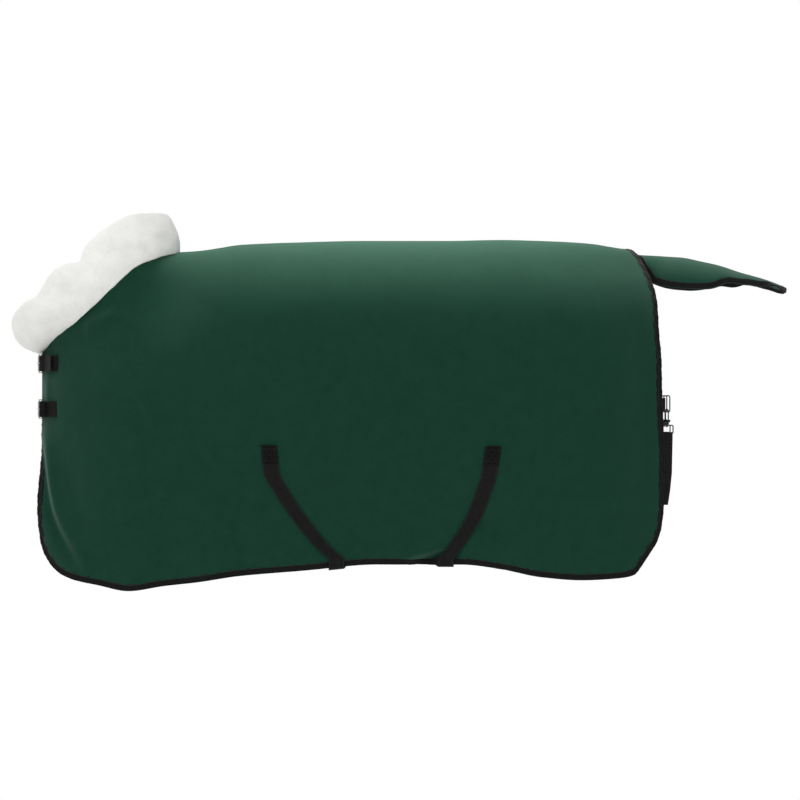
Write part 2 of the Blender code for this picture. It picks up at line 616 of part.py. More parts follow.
def closure(place):
    """Buckle, tongue, roller, chape and billet of one chest closure."""
    at, z = chest_curve(CLOSURE_HEIGHTS[place])
    lift = CHEST_STEP + 0.0085
    point, tangent, normal = (item[0] for item in at(0.030, lift))
    ahead = -tangent
    half, rod_r = BUCKLE_LENGTH / 2, BUCKLE_ROD / 2
    web = WEB_THICK

    def plan(a, c):
        return point + ahead * a + normal * c

    def solid(a, b, c):
        return np.array([*plan(a, c), z + b])
    heel, toe = -half, half
    tall = WEBBING / 2 + 0.0045
    corner = 0.005
    route = []
    for ca, cb, start in ((toe - corner, tall - corner, 0), (heel + corner, tall - corner, 90),
                          (heel + corner, corner - tall, 180), (toe - corner, corner - tall, 270)):
        for turn in (0, 30, 60, 90):
            angle = math.radians(start + turn)
            route.append(solid(ca + corner * math.cos(angle), cb + corner * math.sin(angle), 0))
    rod(f"{place}_buckle_frame", route, rod_r, paint(f"{place}_buckle_frame", *STEEL), 8, True,
        (normal[0], normal[1], 0), origin=tuple(solid(heel, 0, 0)))

    roller_r, bore = 0.0036, rod_r + GAP
    angles = np.linspace(0, 2 * math.pi, 13)[:-1]
    ends = np.array([-WEBBING / 2 + 0.003, WEBBING / 2 - 0.003])
    skins = []
    for radius in (roller_r, bore):
        ring = [[solid(toe + radius * math.cos(t), b, radius * math.sin(t)) for b in ends]
                for t in angles]
        skins.append(np.array(ring))
    slab(f"{place}_buckle_roller", skins[0], skins[1], paint(f"{place}_buckle_roller", *STEEL),
         closed=True, origin=tuple(solid(toe, 0, 0)))

    pin = 0.00125
    eye = rod_r + GAP + pin
    route = [solid(heel + eye * math.cos(math.radians(t)), 0, eye * math.sin(math.radians(t)))
             for t in range(-50, -271, -20)]
    route.append(solid(heel + 0.6 * half, 0, eye + 0.0002))
    route.append(solid(toe - 0.003, 0, roller_r + pin + GAP))
    route.append(solid(toe + 0.0045, 0, roller_r + pin + GAP))
    rod(f"{place}_buckle_tongue", route, pin, paint(f"{place}_buckle_tongue", *STEEL), 8, False,
        (0, 0, 1), origin=tuple(solid(heel, 0, 0)))

    under = CHEST_STEP + 0.0006 + web / 2
    over = under + web + 0.0006
    loop = rod_r + GAP + web / 2 + 0.0001
    path = [at(s, under)[0][0] for s in (0.128, 0.115, 0.102, 0.090, 0.078)]
    path += [plan(heel + loop * math.cos(math.radians(t)), loop * math.sin(math.radians(t)))
             for t in range(-100, 101, 20)]
    path += [at(s, over)[0][0] for s in (0.078, 0.090, 0.102, 0.115, 0.128)]
    chape = plan_strip(f"{place}_chest_chape", path, z, WEBBING, web,
                       paint(f"{place}_chest_chape", *BLACK))
    cutter = prism(f"{place}_chape_slot_tool", solid, (heel - 0.0056, heel + 0.008),
                   (-0.005, 0.005), (-0.009, 0.009), paint(f"{place}_chape_slot_tool", *BLACK))
    cut(chape, cutter)

    low = -(roller_r + 0.0005 + web / 2)
    high = loop + web / 2 + 0.0006 + web / 2
    path = [at(s, 0.0006 + web / 2)[0][0] for s in (-0.165, -0.150, -0.135, -0.120, -0.108)]
    step = CHEST_STEP + 0.0012 + web
    path += [at(s, step)[0][0] for s in (-0.086, -0.074, -0.062)]
    path += [at(s, step + 0.0006)[0][0] for s in (-0.048, -0.034, -0.020)]
    path += [plan(toe + 0.003, low), plan(toe - 0.004, low), plan(0.006, 0.0)]
    path += [plan(heel + 0.006, high - 0.0008), plan(heel, high), plan(heel - 0.007, high - 0.0002)]
    last, tangent_end, normal_end = (item[0] for item in at(0.072, over + web + 0.0024))
    path.append(last)
    billet = plan_strip(f"{place}_billet", path, z, WEBBING, web,
                        paint(f"{place}_billet", *BLACK))
    cutter = prism(f"{place}_billet_slot_tool", solid, (heel - 0.0038, toe - 0.008),
                   (-0.004, 0.004), (-0.012, 0.014), paint(f"{place}_billet_slot_tool", *BLACK))
    cut(billet, cutter)

    way, out = tangent_end, normal_end
    if way[1] > 0:
        way = -way
    hinge = last + out * web / 2 + way * 0.00015
    swing = math.radians(TIP_SWING[place])
    tip_way = way * math.cos(swing) + out * math.sin(swing)
    tip_out = out * math.cos(swing) - way * math.sin(swing)
    path = [hinge + tip_way * (0.0003 + d) - tip_out * (web / 2 + 0.0001)
            for d in np.linspace(0, TIP_LENGTH, 4)]
    plan_strip(f"{place}_billet_tip", path, z, WEBBING, web,
               paint(f"{place}_billet_tip", *BLACK), origin=(hinge[0], hinge[1], z))


# ---- surcingles ----
def hem_height(x):
    """Height of the bound hem below a place along the rug."""
    us = np.linspace(0.2, 0.68, 400)
    pts = EDGE_AT(us)
    return np.interp(x, pts[:, 0], pts[:, 1])


def belly_start(places, side):
    """Plan place where a surcingle turns in under the hem."""
    x, z = scaled(places)[-1]
    foot = float(hem_height(x)) + 0.012
    return np.array([x, side * (float(half_width(x, foot)) - 0.010)])


def surcingle(name, places, side, goal, level):
    """Webbing down one side from its sewn end, under the hem and in across the belly.

    Rows on the side are level cuts; the belly run is square cut and ends in a fold round
    the fastener's bar at the goal."""
    pts = scaled(places)
    line = smooth_line(pts, across=1)
    top = pts[0, 1]
    hem_x = pts[-1, 0]
    foot = float(hem_height(hem_x)) + 0.012
    zs = np.linspace(top, foot, 9)
    slope = (line(zs + 0.004) - line(zs - 0.004)) / 0.008
    spread = WEBBING / 2 * np.sqrt(1 + slope ** 2)
    lift, thick = 0.0006, WEB_THICK
    outer, inner = [], []
    for z, half in zip(zs, spread):
        x = float(line(z))
        row_x = np.array([x - half, x, x + half])
        clear = 0.0020 * float(ease((top - 0.03 - z) / 0.05))
        for grid, rise in ((inner, lift), (outer, lift + thick)):
            rise = rise + clear
            grid.append(side_point(row_x, np.full(3, z), side, rise)[0])
    last_x = np.array(outer[-1])[:, 0]
    width = half_width(last_x, np.full(3, foot))
    hem = hem_height(last_x)
    skin = 0.0003 + lift + 0.0020
    for y_in, drop in ((-skin, 0.0024), (0.010, 0.0044)):
        turn = thick if drop < 0.003 else 0.0
        inner.append(np.stack([last_x, side * (width - y_in), hem - drop], axis=1))
        outer.append(np.stack([last_x, side * (width - y_in + turn), hem - drop - thick], axis=1))
    start = belly_start(places, side)
    run = goal - start
    length = np.linalg.norm(run)
    run /= length
    square = np.array([-run[1], run[0]])
    if (last_x[2] - last_x[0]) * square[0] < 0:
        square = -square
    bar = SLIDE_ROD / 2 + GAP + thick / 2 + 0.0002
    centre = [(start + run * d, level, (0.0, -1.0)) for d in (0.065, length - 0.012)]
    for turn in range(-90, 91, 20):
        t = math.radians(turn)
        centre.append((goal + run * bar * math.cos(t), level + bar + bar * math.sin(t),
                       (math.cos(t), math.sin(t))))
    centre.append((goal - run * 0.030, level + 2 * bar, (0.0, 1.0)))
    for place, z, (ahead, up) in centre:
        row = place + square * np.array([[-1], [0], [1]]) * WEBBING / 2
        for grid, sign in ((inner, -0.5), (outer, 0.5)):
            shift = run * ahead * thick * sign
            grid.append(np.column_stack([row + shift, np.full(3, z + up * thick * sign)]))
    slab(name, np.array(outer), np.array(inner), paint(name, *BLACK), smooth=False)
    return square, level + bar


def fastener(which, goal, run, square, height):
    """Slotted plate on the short webbing and T-hook on the long one, lying flat."""
    def solid(d, w, n):
        return np.array([*(goal + run * d + square * w), height + n])
    r = SLIDE_ROD / 2
    tall, far, corner = WEBBING / 2 + 0.005, 0.032, 0.005

    def loop(d0, d1, n):
        route = []
        for cd, cw, start in ((d1 - corner, tall - corner, 0), (d0 + corner, tall - corner, 90),
                              (d0 + corner, corner - tall, 180), (d1 - corner, corner - tall, 270)):
            for turn in (0, 45, 90):
                t = math.radians(start + turn)
                route.append(solid(cd + corner * math.cos(t), cw + corner * math.sin(t), n))
        return route
    steel = paint(f"{which}_slotted_plate", *STEEL)
    plate = rod(f"{which}_slotted_plate", loop(0, far, 0), r, steel, 6, True)
    bar = rod(f"{which}_plate_bar_tool", [solid(0.013, -tall, 0), solid(0.013, tall, 0)], r * 0.9,
              steel, 6, False, (0, 0, 1))
    join(plate, bar)
    steel = paint(f"{which}_t_hook", *STEEL)
    over = 2 * r + 0.0006
    hook = rod(f"{which}_t_hook", loop(HOOK_REACH - 0.014, HOOK_REACH, over), r, steel, 6, True)
    stem = rod(f"{which}_t_stem_tool",
               [solid(HOOK_REACH - 0.014, 0, over), solid(far + 0.001, 0, over),
                solid(far - 0.003, 0, over - 0.0008), solid(far - 0.0050, 0, 0.0)],
               r * 0.9, steel, 6, False, (square[0], square[1], 0))
    tee = rod(f"{which}_t_bar_tool",
              [solid(far - 0.0052, -0.014, 0), solid(far - 0.0052, 0.014, 0)],
              r * 0.95, steel, 6, False, (0, 0, 1))
    join(hook, stem)
    join(hook, tee)


def slide_keeper(name, middle, run, square, height):
    """Flat three-sided loop round the long webbing, free to slide along it."""
    def solid(d, w, n):
        return np.array([*(middle + run * d + square * w), height + n])
    outer, inner = [], []
    half_w, half_n = WEBBING / 2 + 0.0010, WEB_THICK / 2 + 0.0006
    for w, n in ((-1, -1), (1, -1), (1, 1), (-1, 1)):
        for grid, extra in ((outer, 0.0022), (inner, 0.0)):
            grid.append([solid(d, w * (half_w + extra), n * (half_n + extra))
                         for d in (-0.011, 0.011)])
    slab(name, np.array(outer), np.array(inner), paint(name, *BLACK), closed=True,
         smooth=False, origin=tuple(solid(0, 0, 0)))


def belly():
    """Both crossed surcingles with their fasteners; the near ends are the short ones."""
    low = TOP - 0.992 * SZ
    crossings = (("front", "rear", FRONT_SURCINGLE, REAR_SURCINGLE, low),
                 ("rear", "front", REAR_SURCINGLE, FRONT_SURCINGLE, low - 0.011))
    for near_end, off_end, near_places, off_places, level in crossings:
        start, finish = belly_start(near_places, NEAR), belly_start(off_places, OFF)
        run = (finish - start) / np.linalg.norm(finish - start)
        goal = start + run * 0.085
        square, height = surcingle(f"near_{near_end}_surcingle", near_places, NEAR, goal, level)
        fastener(near_end, goal, run, square, height)
        far = goal + run * HOOK_REACH
        fold = SLIDE_ROD / 2 + GAP + WEB_THICK / 2 + 0.0002
        flat = height + SLIDE_ROD + 0.0006 - fold
        surcingle(f"off_{off_end}_surcingle", off_places, OFF, far, flat)
        slide_keeper(f"{near_end}_slide_keeper", far + run * 0.16, run, square, flat)
        patch(f"near_{near_end}_surcingle_patch", near_places, NEAR)
        patch(f"off_{near_end}_surcingle_patch", near_places, OFF)


def patch(name, places, side):
    """Square of webbing sewn flat over the surcingle's top end."""
    pts = scaled(places)
    x0, z0 = pts[0]
    grid_x, grid_z = np.meshgrid(np.linspace(-0.5, 0.5, 3), np.linspace(-0.012, 0.036, 3),
                                 indexing="ij")
    lean = (pts[1, 0] - pts[0, 0]) / (pts[1, 1] - pts[0, 1])
    x = x0 + grid_x * (WEBBING + 0.010) - grid_z * lean
    z = z0 - grid_z
    lift = 0.0006 + WEB_THICK + 0.0005
    outer = side_point(x, z, side, lift + 0.0016)[0]
    inner = side_point(x, z, side, lift)[0]
    slab(name, outer, inner, paint(name, *BLACK), smooth=False)


# ---- leg straps ----
def leg_strap(side, word):
    """Tab, ring, swivel snap and strap of one leg strap, along the rear edge inside."""
    z_ring = TOP + LEG_RING_HEIGHT * SZ
    edge = EDGE_AT(np.linspace(0.70, 1.0, 400))
    x_edge = float(np.interp(z_ring, edge[:, 1], edge[:, 0]))
    inside = CLOTH + 0.0170
    slope = float(half_width(x_edge - 0.03, z_ring) - half_width(x_edge, z_ring)) / 0.03
    x = x_edge + 0.004
    y = side * (float(half_width(x_edge, z_ring)) - inside - 0.004 * slope)
    lean = np.array([1.0, -side * slope, 0.0])
    lean /= np.linalg.norm(lean)
    out = np.array([-lean[1], lean[0], 0.0]) * side

    def solid(a, b, c):
        return np.array([x, y, z_ring]) + lean * a + out * c + np.array([0, 0, b])
    r = LEG_RING_ROD / 2
    tall, wide, corner = WEBBING / 2, 0.022, 0.004
    route = []
    for ca, cb, start in ((wide - corner, tall - corner, 0), (corner, tall - corner, 90),
                          (corner, corner - tall, 180), (wide - corner, corner - tall, 270)):
        for turn in (0, 45, 90):
            t = math.radians(start + turn)
            route.append(solid(ca + corner * math.cos(t), cb + corner * math.sin(t), 0))
    rod(f"{word}_leg_ring", route, r, paint(f"{word}_leg_ring", *DARK_STEEL), 8, True, tuple(out))

    web = WEB_THICK
    bar = r + GAP + web / 2 + 0.0001
    back = inside - CLOTH - 0.0050 - web / 2
    fold = [(-0.060, back), (-0.044, back), (-0.022, bar + 0.001)]
    fold += [(bar * math.cos(math.radians(t)), bar * math.sin(math.radians(t)))
             for t in range(95, -96, -20)]
    fold += [(-0.012, -bar + 0.0006), (-0.026, bar - web - 0.0010),
             (-0.045, back - web - 0.0010), (-0.060, back - web - 0.0010)]
    path = [solid(a, 0, c)[:2] for a, c in fold]
    plan_strip(f"{word}_leg_tab", path, z_ring, WEBBING - 0.014, web,
               paint(f"{word}_leg_tab", *BLACK))

    foot = TOP + LEG_STRAP_FOOT * SZ
    bottom = z_ring - tall
    grip = bottom - 0.004
    base = grip - 0.030
    pivot = solid(wide / 2, base - z_ring, 0)

    def hung(a, b, c):
        return pivot + lean * a + out * c + np.array([0, 0, b])
    rod_r = HOOK_ROD / 2
    steel = paint(f"{word}_snap_hook", *STEEL)
    bend = 0.0085
    route = [hung(0, -0.012, 0), hung(0, 0.004, 0), hung(0, 0.008, -bend * 0.6),
             hung(0, 0.013, -bend)]
    arc_z = grip + 0.003 - base
    for t in range(180, -1, -30):
        angle = math.radians(t)
        route.append(hung(0, arc_z + bend * math.sin(angle), bend * math.cos(angle)))
    route.append(hung(0, arc_z - 0.005, bend))
    hook = rod(f"{word}_snap_hook", route, rod_r, steel, 8, False, tuple(lean),
               origin=tuple(pivot))
    join(hook, prism(f"{word}_snap_shoulder_tool", hung, (-0.0045, 0.0045), (0.001, 0.009),
                     (-0.012, 0.0135), steel))
    head = lathe(f"{word}_snap_head_tool", hung, [(0.0, -0.014), (0.0045, -0.014),
                                                  (0.0045, -0.0115), (0.0, -0.0115)], steel, 12)
    join(hook, head)
    bore = lathe(f"{word}_gate_bore_tool", lambda a, b, c: hung(a, b, c + bend),
                 [(0.0, -0.004), (0.0024, -0.004), (0.0024, 0.020), (0.0, 0.020)], steel, 12)
    cut(hook, bore)
    gate_top = arc_z - 0.0056
    lathe(f"{word}_snap_gate", lambda a, b, c: hung(a, b, c + bend),
          [(0.0, -0.004), (0.0020, -0.004), (0.0020, gate_top - 0.001), (0.0012, gate_top),
           (0.0, gate_top)],
          paint(f"{word}_snap_gate", *STEEL), 12, origin=tuple(hung(0, 0, bend)))

    steel = paint(f"{word}_snap_eye", *STEEL)
    collar_low, collar_high = -0.0105, 0.0004
    half, low = LEG_WEBBING / 2 + 0.004, -0.034
    route = []
    head = -0.0085 - corner
    for ca, cb, start in ((half - corner, head, 0), (corner - half, head, 90),
                          (corner - half, low + corner, 180), (half - corner, low + corner, 270)):
        for turn in (0, 45, 90):
            t = math.radians(start + turn)
            route.append(hung(ca + corner * math.cos(t), cb + corner * math.sin(t), 0))
    eye = rod(f"{word}_snap_eye", route, r, steel, 8, True, tuple(out))
    collar = lathe(f"{word}_eye_collar_tool", hung, [(0.0, collar_low), (0.0060, collar_low),
                                                     (0.0060, collar_high), (0.0, collar_high)],
                   steel, 12)
    join(eye, collar)
    bore = lathe(f"{word}_eye_bore_tool", hung, [(0.0, -0.020), (0.0029, -0.020),
                                                 (0.0029, 0.010), (0.0, 0.010)], steel, 12)
    cut(eye, bore)

    route, normal = [], []
    sew_z = foot - base

    def cloth_at(b):
        width = half_width(np.full(2, x_edge - 0.01), np.array([base + b, z_ring]))
        return float(width[0] - width[1]) + back - 0.0008
    for b, c, nb, nc in ([(sew_z, cloth_at(sew_z), 0, 1),
                          (sew_z + 0.05, cloth_at(sew_z + 0.05), 0, 1),
                          (sew_z + 0.10, 0.5 * cloth_at(sew_z + 0.10) + 0.5 * bar, 0, 1),
                          (low - 0.012, bar, 0, 1)]
                         + [(low + bar * math.sin(math.radians(t)), bar * math.cos(math.radians(t)),
                             math.sin(math.radians(t)), math.cos(math.radians(t)))
                            for t in range(0, 181, 20)]
                         + [(low - 0.012, -bar, 0, -1), (low - 0.045, -bar, 0, -1)]):
        route.append(hung(-0.006 if b == sew_z else 0.0, b, c))
        normal.append(out * nc + np.array([0, 0, nb]))
    across = np.tile(lean, (len(route), 1))
    strip(f"{word}_leg_strap", route, normal, LEG_WEBBING, web,
          paint(f"{word}_leg_strap", *BLACK), across)


def main():
    """Build every piece."""
    for item in list(bpy.context.scene.objects):
        bpy.data.objects.remove(item, do_unlink=True)
    side_panel(NEAR, "near_body_panel", "near_edge_binding")
    side_panel(OFF, "off_body_panel", "off_edge_binding")
    spine_seam_tape()
    neck_collar()
    tail_flap()
    for place in CLOSURE_HEIGHTS:
        closure(place)
    belly()
    leg_strap(NEAR, "near")
    leg_strap(OFF, "off")


main()
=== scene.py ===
"""A fleece turnout rug in the shape it takes on a standing horse: head at -X, tail at +X,
near side at -Y.  Metres, Z up.  Each section below is one piece of the rug, in the order
that it is put together."""
import json
import math

import bmesh
import bpy
import numpy as np
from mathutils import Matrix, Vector


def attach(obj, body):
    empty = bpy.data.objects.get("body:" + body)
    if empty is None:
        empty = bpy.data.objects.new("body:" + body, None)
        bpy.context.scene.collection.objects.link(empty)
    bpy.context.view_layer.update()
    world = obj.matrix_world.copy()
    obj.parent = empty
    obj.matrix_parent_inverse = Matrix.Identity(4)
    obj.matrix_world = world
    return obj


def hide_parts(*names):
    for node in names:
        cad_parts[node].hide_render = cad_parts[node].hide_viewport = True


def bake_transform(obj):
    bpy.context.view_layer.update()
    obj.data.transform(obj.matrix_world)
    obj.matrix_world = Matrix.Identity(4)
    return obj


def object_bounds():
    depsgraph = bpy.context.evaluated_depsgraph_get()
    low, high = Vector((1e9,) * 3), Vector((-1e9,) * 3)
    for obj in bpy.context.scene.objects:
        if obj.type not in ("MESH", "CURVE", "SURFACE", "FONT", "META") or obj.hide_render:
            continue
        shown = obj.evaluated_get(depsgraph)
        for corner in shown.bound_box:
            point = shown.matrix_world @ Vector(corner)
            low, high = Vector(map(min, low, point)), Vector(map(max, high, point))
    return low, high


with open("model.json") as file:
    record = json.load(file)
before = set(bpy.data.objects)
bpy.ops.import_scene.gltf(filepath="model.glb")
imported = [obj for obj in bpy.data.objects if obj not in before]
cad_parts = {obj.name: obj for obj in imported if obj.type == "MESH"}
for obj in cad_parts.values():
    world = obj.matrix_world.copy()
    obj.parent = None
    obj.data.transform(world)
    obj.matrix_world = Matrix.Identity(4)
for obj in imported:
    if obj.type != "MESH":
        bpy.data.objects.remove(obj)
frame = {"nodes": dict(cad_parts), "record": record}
cad_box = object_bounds()


# ======================================================================================
# Floor, light and camera.
# Even daylight from all round and a pure white backdrop, a soft sun from the near front
# and a gridded light over the back, with a plain white floor far below the hem.  The
# camera stands level, far off on the near side.
# ======================================================================================
def linear(code):
    """sRGB hex colour as linear RGBA: each channel by the sRGB transfer curve."""
    srgb = np.array([int(code[k:k + 2], 16) for k in (1, 3, 5)]) / 255
    rgb = np.where(srgb <= 0.04045, srgb / 12.92, ((srgb + 0.055) / 1.055) ** 2.4)
    return (*rgb.tolist(), 1.0)


def node(tree, kind, inputs, out=0, **settings):
    """Adds one shader node with its settings and gives one of its outputs; each input is a
    value or another node's output."""
    made = tree.nodes.new(f"ShaderNode{kind}")
    for key, value in settings.items():
        setattr(made, key, value)
    for key, value in inputs.items():
        if isinstance(value, bpy.types.NodeSocket):
            tree.links.new(value, made.inputs[key])
        else:
            made.inputs[key].default_value = value
    return made.outputs[out]


def noise(tree, vector, scale, detail, **more):
    """Fractal noise at a number of waves to the metre."""
    return node(tree, "TexNoise", {"Vector": vector, "Scale": scale, "Detail": detail, **more})


def ranged(tree, value, low, high, to_low=0.0, to_high=1.0):
    """A value carried in a straight line from one range to another and held inside it."""
    return node(tree, "MapRange", {"Value": value, "From Min": low, "From Max": high,
                                   "To Min": to_low, "To Max": to_high})


def tinted(tree, factor, first, second):
    """Mix of two colours, each an sRGB hex code or another node's output."""
    first, second = (linear(tint) if isinstance(tint, str) else tint for tint in (first, second))
    return node(tree, "Mix", {"Factor": factor, "A": first, "B": second}, "Result",
                data_type="RGBA")


def dress(tree, shader, colour, height=None, strength=0.0, distance=0.0):
    """Gives the shader its colour and, for a height, a bump so strong and so deep."""
    tree.links.new(colour, shader.inputs["Base Color"])
    if height is not None:
        bump = node(tree, "Bump", {"Height": height, "Strength": strength, "Distance": distance})
        tree.links.new(bump, shader.inputs["Normal"])


def material(name, **sockets):
    """A Principled material; the sockets are named with _ for a space."""
    made = bpy.data.materials.new(name)
    made.use_nodes = True
    shader = made.node_tree.nodes["Principled BSDF"]
    for key, value in sockets.items():
        shader.inputs[key.replace("_", " ")].default_value = value
    return made, made.node_tree, shader


def mesh_piece(name, verts, faces, look, uv=None):
    """One object at the origin from vertices, faces and a UV value for each vertex."""
    mesh = bpy.data.meshes.new(name)
    verts, faces = np.asarray(verts, np.float32), np.asarray(faces, np.int32)
    mesh.vertices.add(len(verts))
    mesh.vertices.foreach_set("co", verts.ravel())
    mesh.loops.add(faces.size)
    mesh.loops.foreach_set("vertex_index", faces.ravel())
    mesh.polygons.add(len(faces))
    mesh.polygons.foreach_set("loop_start", np.arange(len(faces), dtype=np.int32) * faces.shape[1])
    mesh.polygons.foreach_set("use_smooth", np.full(len(faces), True))
    if uv is not None:
        layer = mesh.uv_layers.new(name="cloth")
        layer.data.foreach_set("uv", np.asarray(uv, np.float32)[faces.ravel()].ravel())
    mesh.update(calc_edges=True)
    mesh.validate()
    mesh.materials.append(look)
    made = bpy.data.objects.new(name, mesh)
    bpy.context.scene.collection.objects.link(made)
    return made


def grid_faces(rows, cols, start=0, wrap=False):
    """Quads of a rows by cols grid of vertices; wrap joins the last column to the first."""
    grid = start + np.arange(rows * cols).reshape(rows, cols)
    if wrap:
        grid = np.concatenate([grid, grid[:, :1]], axis=1)
    corners = [grid[:-1, :-1], grid[1:, :-1], grid[1:, 1:], grid[:-1, 1:]]
    return np.stack(corners, -1).reshape(-1, 4)


FLOOR_HEIGHT = cad_box[0][2] - 2.60
FLOOR_HALF, FLOOR_LINES = 40.0, 9
paper, tree, shader = material("white painted floor", Roughness=0.9)
speck = noise(tree, node(tree, "TexCoord", {}, "Object"), 0.6, 2.0)
dress(tree, shader, tinted(tree, speck, "#ffffff", "#fdfdfd"))
ruled = np.linspace(-FLOOR_HALF, FLOOR_HALF, FLOOR_LINES)
gx, gy = np.meshgrid(ruled, ruled, indexing="ij")
floor = mesh_piece("floor", np.stack([gx, gy, np.full_like(gx, FLOOR_HEIGHT)], -1).reshape(-1, 3),
                   grid_faces(FLOOR_LINES, FLOOR_LINES), paper)

DAYLIGHT = 0.60             # light from all round; the backdrop itself shows pure white
world = bpy.data.worlds.new("daylight")
world.use_nodes = True
tree = world.node_tree
bright = ranged(tree, node(tree, "LightPath", {}, "Is Camera Ray"), 0.0, 1.0, DAYLIGHT, 1.0)
backdrop = tree.nodes["Background"]
backdrop.inputs["Color"].default_value = (1, 1, 1, 1)
tree.links.new(bright, backdrop.inputs["Strength"])
bpy.context.scene.world = world
bpy.context.scene.view_settings.view_transform = "Standard"


def lamp(name, kind, place, aim, energy, **settings):
    """A light at a place that faces a point: its -Z turned along the line to it."""
    light = bpy.data.lights.new(name, kind)
    light.energy = energy
    for key, value in settings.items():
        setattr(light, key, value)
    made = bpy.data.objects.new(name, light)
    made.location = place
    made.rotation_euler = (Vector(aim) - Vector(place)).to_track_quat("-Z", "Y").to_euler()
    bpy.context.scene.collection.objects.link(made)
    return made


lamp("soft sun", "SUN", (-1.2, -2.2, 4.0), (0, 0, -0.4), 1.60, angle=math.radians(60))
back_light = lamp("gridded back light", "AREA", (0.0, 0.85, 2.4), (0.0, 0, -0.1), 16.0,
                  shape="RECTANGLE", size=1.7, size_y=1.0, spread=math.radians(32))

FRAME_WIDTH, CAMERA_AWAY, SENSOR = 2.52, 30.0, 36.0
FRAME_MIDDLE, FRAME_HEIGHT = -0.01575, -0.4949
lens = bpy.data.cameras.new("camera")
lens.sensor_width = SENSOR
lens.lens = SENSOR * CAMERA_AWAY / FRAME_WIDTH
lens.clip_end = 200.0
camera = bpy.data.objects.new("camera", lens)
camera.location = (FRAME_MIDDLE, -CAMERA_AWAY, FRAME_HEIGHT)
camera.rotation_euler = (math.pi / 2, 0, 0)
bpy.context.scene.collection.objects.link(camera)
bpy.context.scene.camera = camera


# ======================================================================================
# Body panels.
# Two panels of heavy polyester fleece, near and off, sewn along the spine; the near one
# laps over the off one at the breast.  The cloth hangs over the horse and folds a little
# at the neck, the breast and round the surcingles.
# ======================================================================================
CLOTH = 0.004
BINDING_WIDTH = 0.022
NEAR, OFF = -1.0, 1.0
TOP = 0.0063               # outside of the back over the underside of the seam tape
BARREL_HALF_WIDTH, NECK_HALF_WIDTH = 0.33, 0.165
BACK_ROUND, BREAST_ROUND, BUTTOCK_ROUND = 0.38, 0.35, 0.50   # depths of the roundings
HEM_TAPER, GIRTH_TAPER = 0.20, 0.16
CHEST_STEP, CHEST_OVERLAP = 0.0072, 0.075
NECK_SHARE = 0.20          # share of the columns that start on the neckline
COLUMN_POINTS = 240
SIDES = (("near", NEAR), ("off", OFF))
SPINE = [(-0.718, -0.035), (-0.646, -0.031), (-0.583, -0.022), (-0.520, -0.0125),
         (-0.330, -0.0045), (-0.130, 0.0), (0.130, 0.0), (0.300, 0.003), (0.425, 0.0),
         (0.551, -0.006), (0.614, -0.0125), (0.677, -0.022), (0.715, -0.028)]
NECKLINE = [(-1.136, -0.3465), (-1.1105, -0.3195), (-1.085, -0.2925), (-1.036, -0.256),
            (-0.954, -0.180), (-0.9135, -0.142), (-0.8726, -0.101), (-0.835, -0.073),
            (-0.800, -0.058), (-0.759, -0.044), (-0.718, -0.035)]
EDGE = [(-1.136, -0.3465), (-1.136, -0.400), (-1.135, -0.500), (-1.135, -0.570),
        (-1.138, -0.617), (-1.143, -0.665), (-1.149, -0.750), (-1.151, -0.854),
        (-1.144, -0.948), (-1.128, -0.995), (-1.087, -1.043), (-1.0395, -1.0647),
        (-0.964, -1.081), (-0.866, -1.0994), (-0.756, -1.0836), (-0.646, -1.071),
        (-0.520, -1.052), (-0.331, -1.036), (-0.079, -1.016), (0.173, -1.016),
        (0.299, -1.030), (0.425, -1.055), (0.551, -1.0647), (0.677, -1.058),
        (0.715, -1.049), (0.743, -1.015), (0.765, -0.982), (0.7875, -0.948),
        (0.804, -0.900), (0.8127, -0.822), (0.814, -0.700), (0.810, -0.600),
        (0.806, -0.490), (0.805, -0.380), (0.797, -0.287), (0.790, -0.192),
        (0.778, -0.139), (0.7466, -0.066), (0.728, -0.038), (0.715, -0.0285)]
CREST = [(-1.500, 0.600), (-1.100, 0.300), (-0.900, 0.125), (-0.790, 0.012),
         (-0.718, -0.035)] + SPINE[1:] + [(0.780, -0.048), (0.860, -0.120), (0.960, -0.400)]
BREAST = [(-1.150, -1.190), (-0.900, -1.182), (-0.750, -1.165), (-0.620, -1.141),
          (-0.570, -1.136), (-0.346, -1.136), (-0.200, -1.245), (0.100, -1.500)]
BUTTOCK = [(-1.100, 0.960), (-0.400, 0.940), (-0.250, 0.915), (-0.139, 0.875),
           (-0.030, 0.800), (0.100, 0.780)]


def smooth_line(points):
    """Monotone cubic through (x, y) points: on each step a Hermite cubic whose slope at a
    point is the weighted harmonic mean of the slopes on its two sides."""
    pts = np.array(points, float)
    xs, ys = pts[np.argsort(pts[:, 0])].T
    step = np.diff(xs)
    slope = np.diff(ys) / step
    a, b = slope[:-1], slope[1:]
    w1, w2 = 2 * step[1:] + step[:-1], step[1:] + 2 * step[:-1]
    same = a * b > 1e-12
    inner = np.where(same, (w1 + w2) / (w1 / np.where(same, a, 1) + w2 / np.where(same, b, 1)), 0)
    tangent = np.concatenate([slope[:1], inner, slope[-1:]])

    def at(x):
        x = np.asarray(x, float)
        i = np.clip(np.searchsorted(xs, x) - 1, 0, len(step) - 1)
        t = np.clip((x - xs[i]) / step[i], 0, 1)
        return ((1 + 2 * t) * (1 - t) ** 2 * ys[i] + t * (1 - t) ** 2 * step[i] * tangent[i]
                + t * t * (3 - 2 * t) * ys[i + 1] + t * t * (t - 1) * step[i] * tangent[i + 1])
    return at


def run_along(points):
    """Length run along a polyline at each of its points."""
    return np.concatenate([[0], np.cumsum(np.linalg.norm(np.diff(points, axis=0), axis=1))])


def unit(vectors):
    """Vectors over their lengths."""
    return vectors / np.maximum(np.linalg.norm(vectors, axis=-1, keepdims=True), 1e-12)


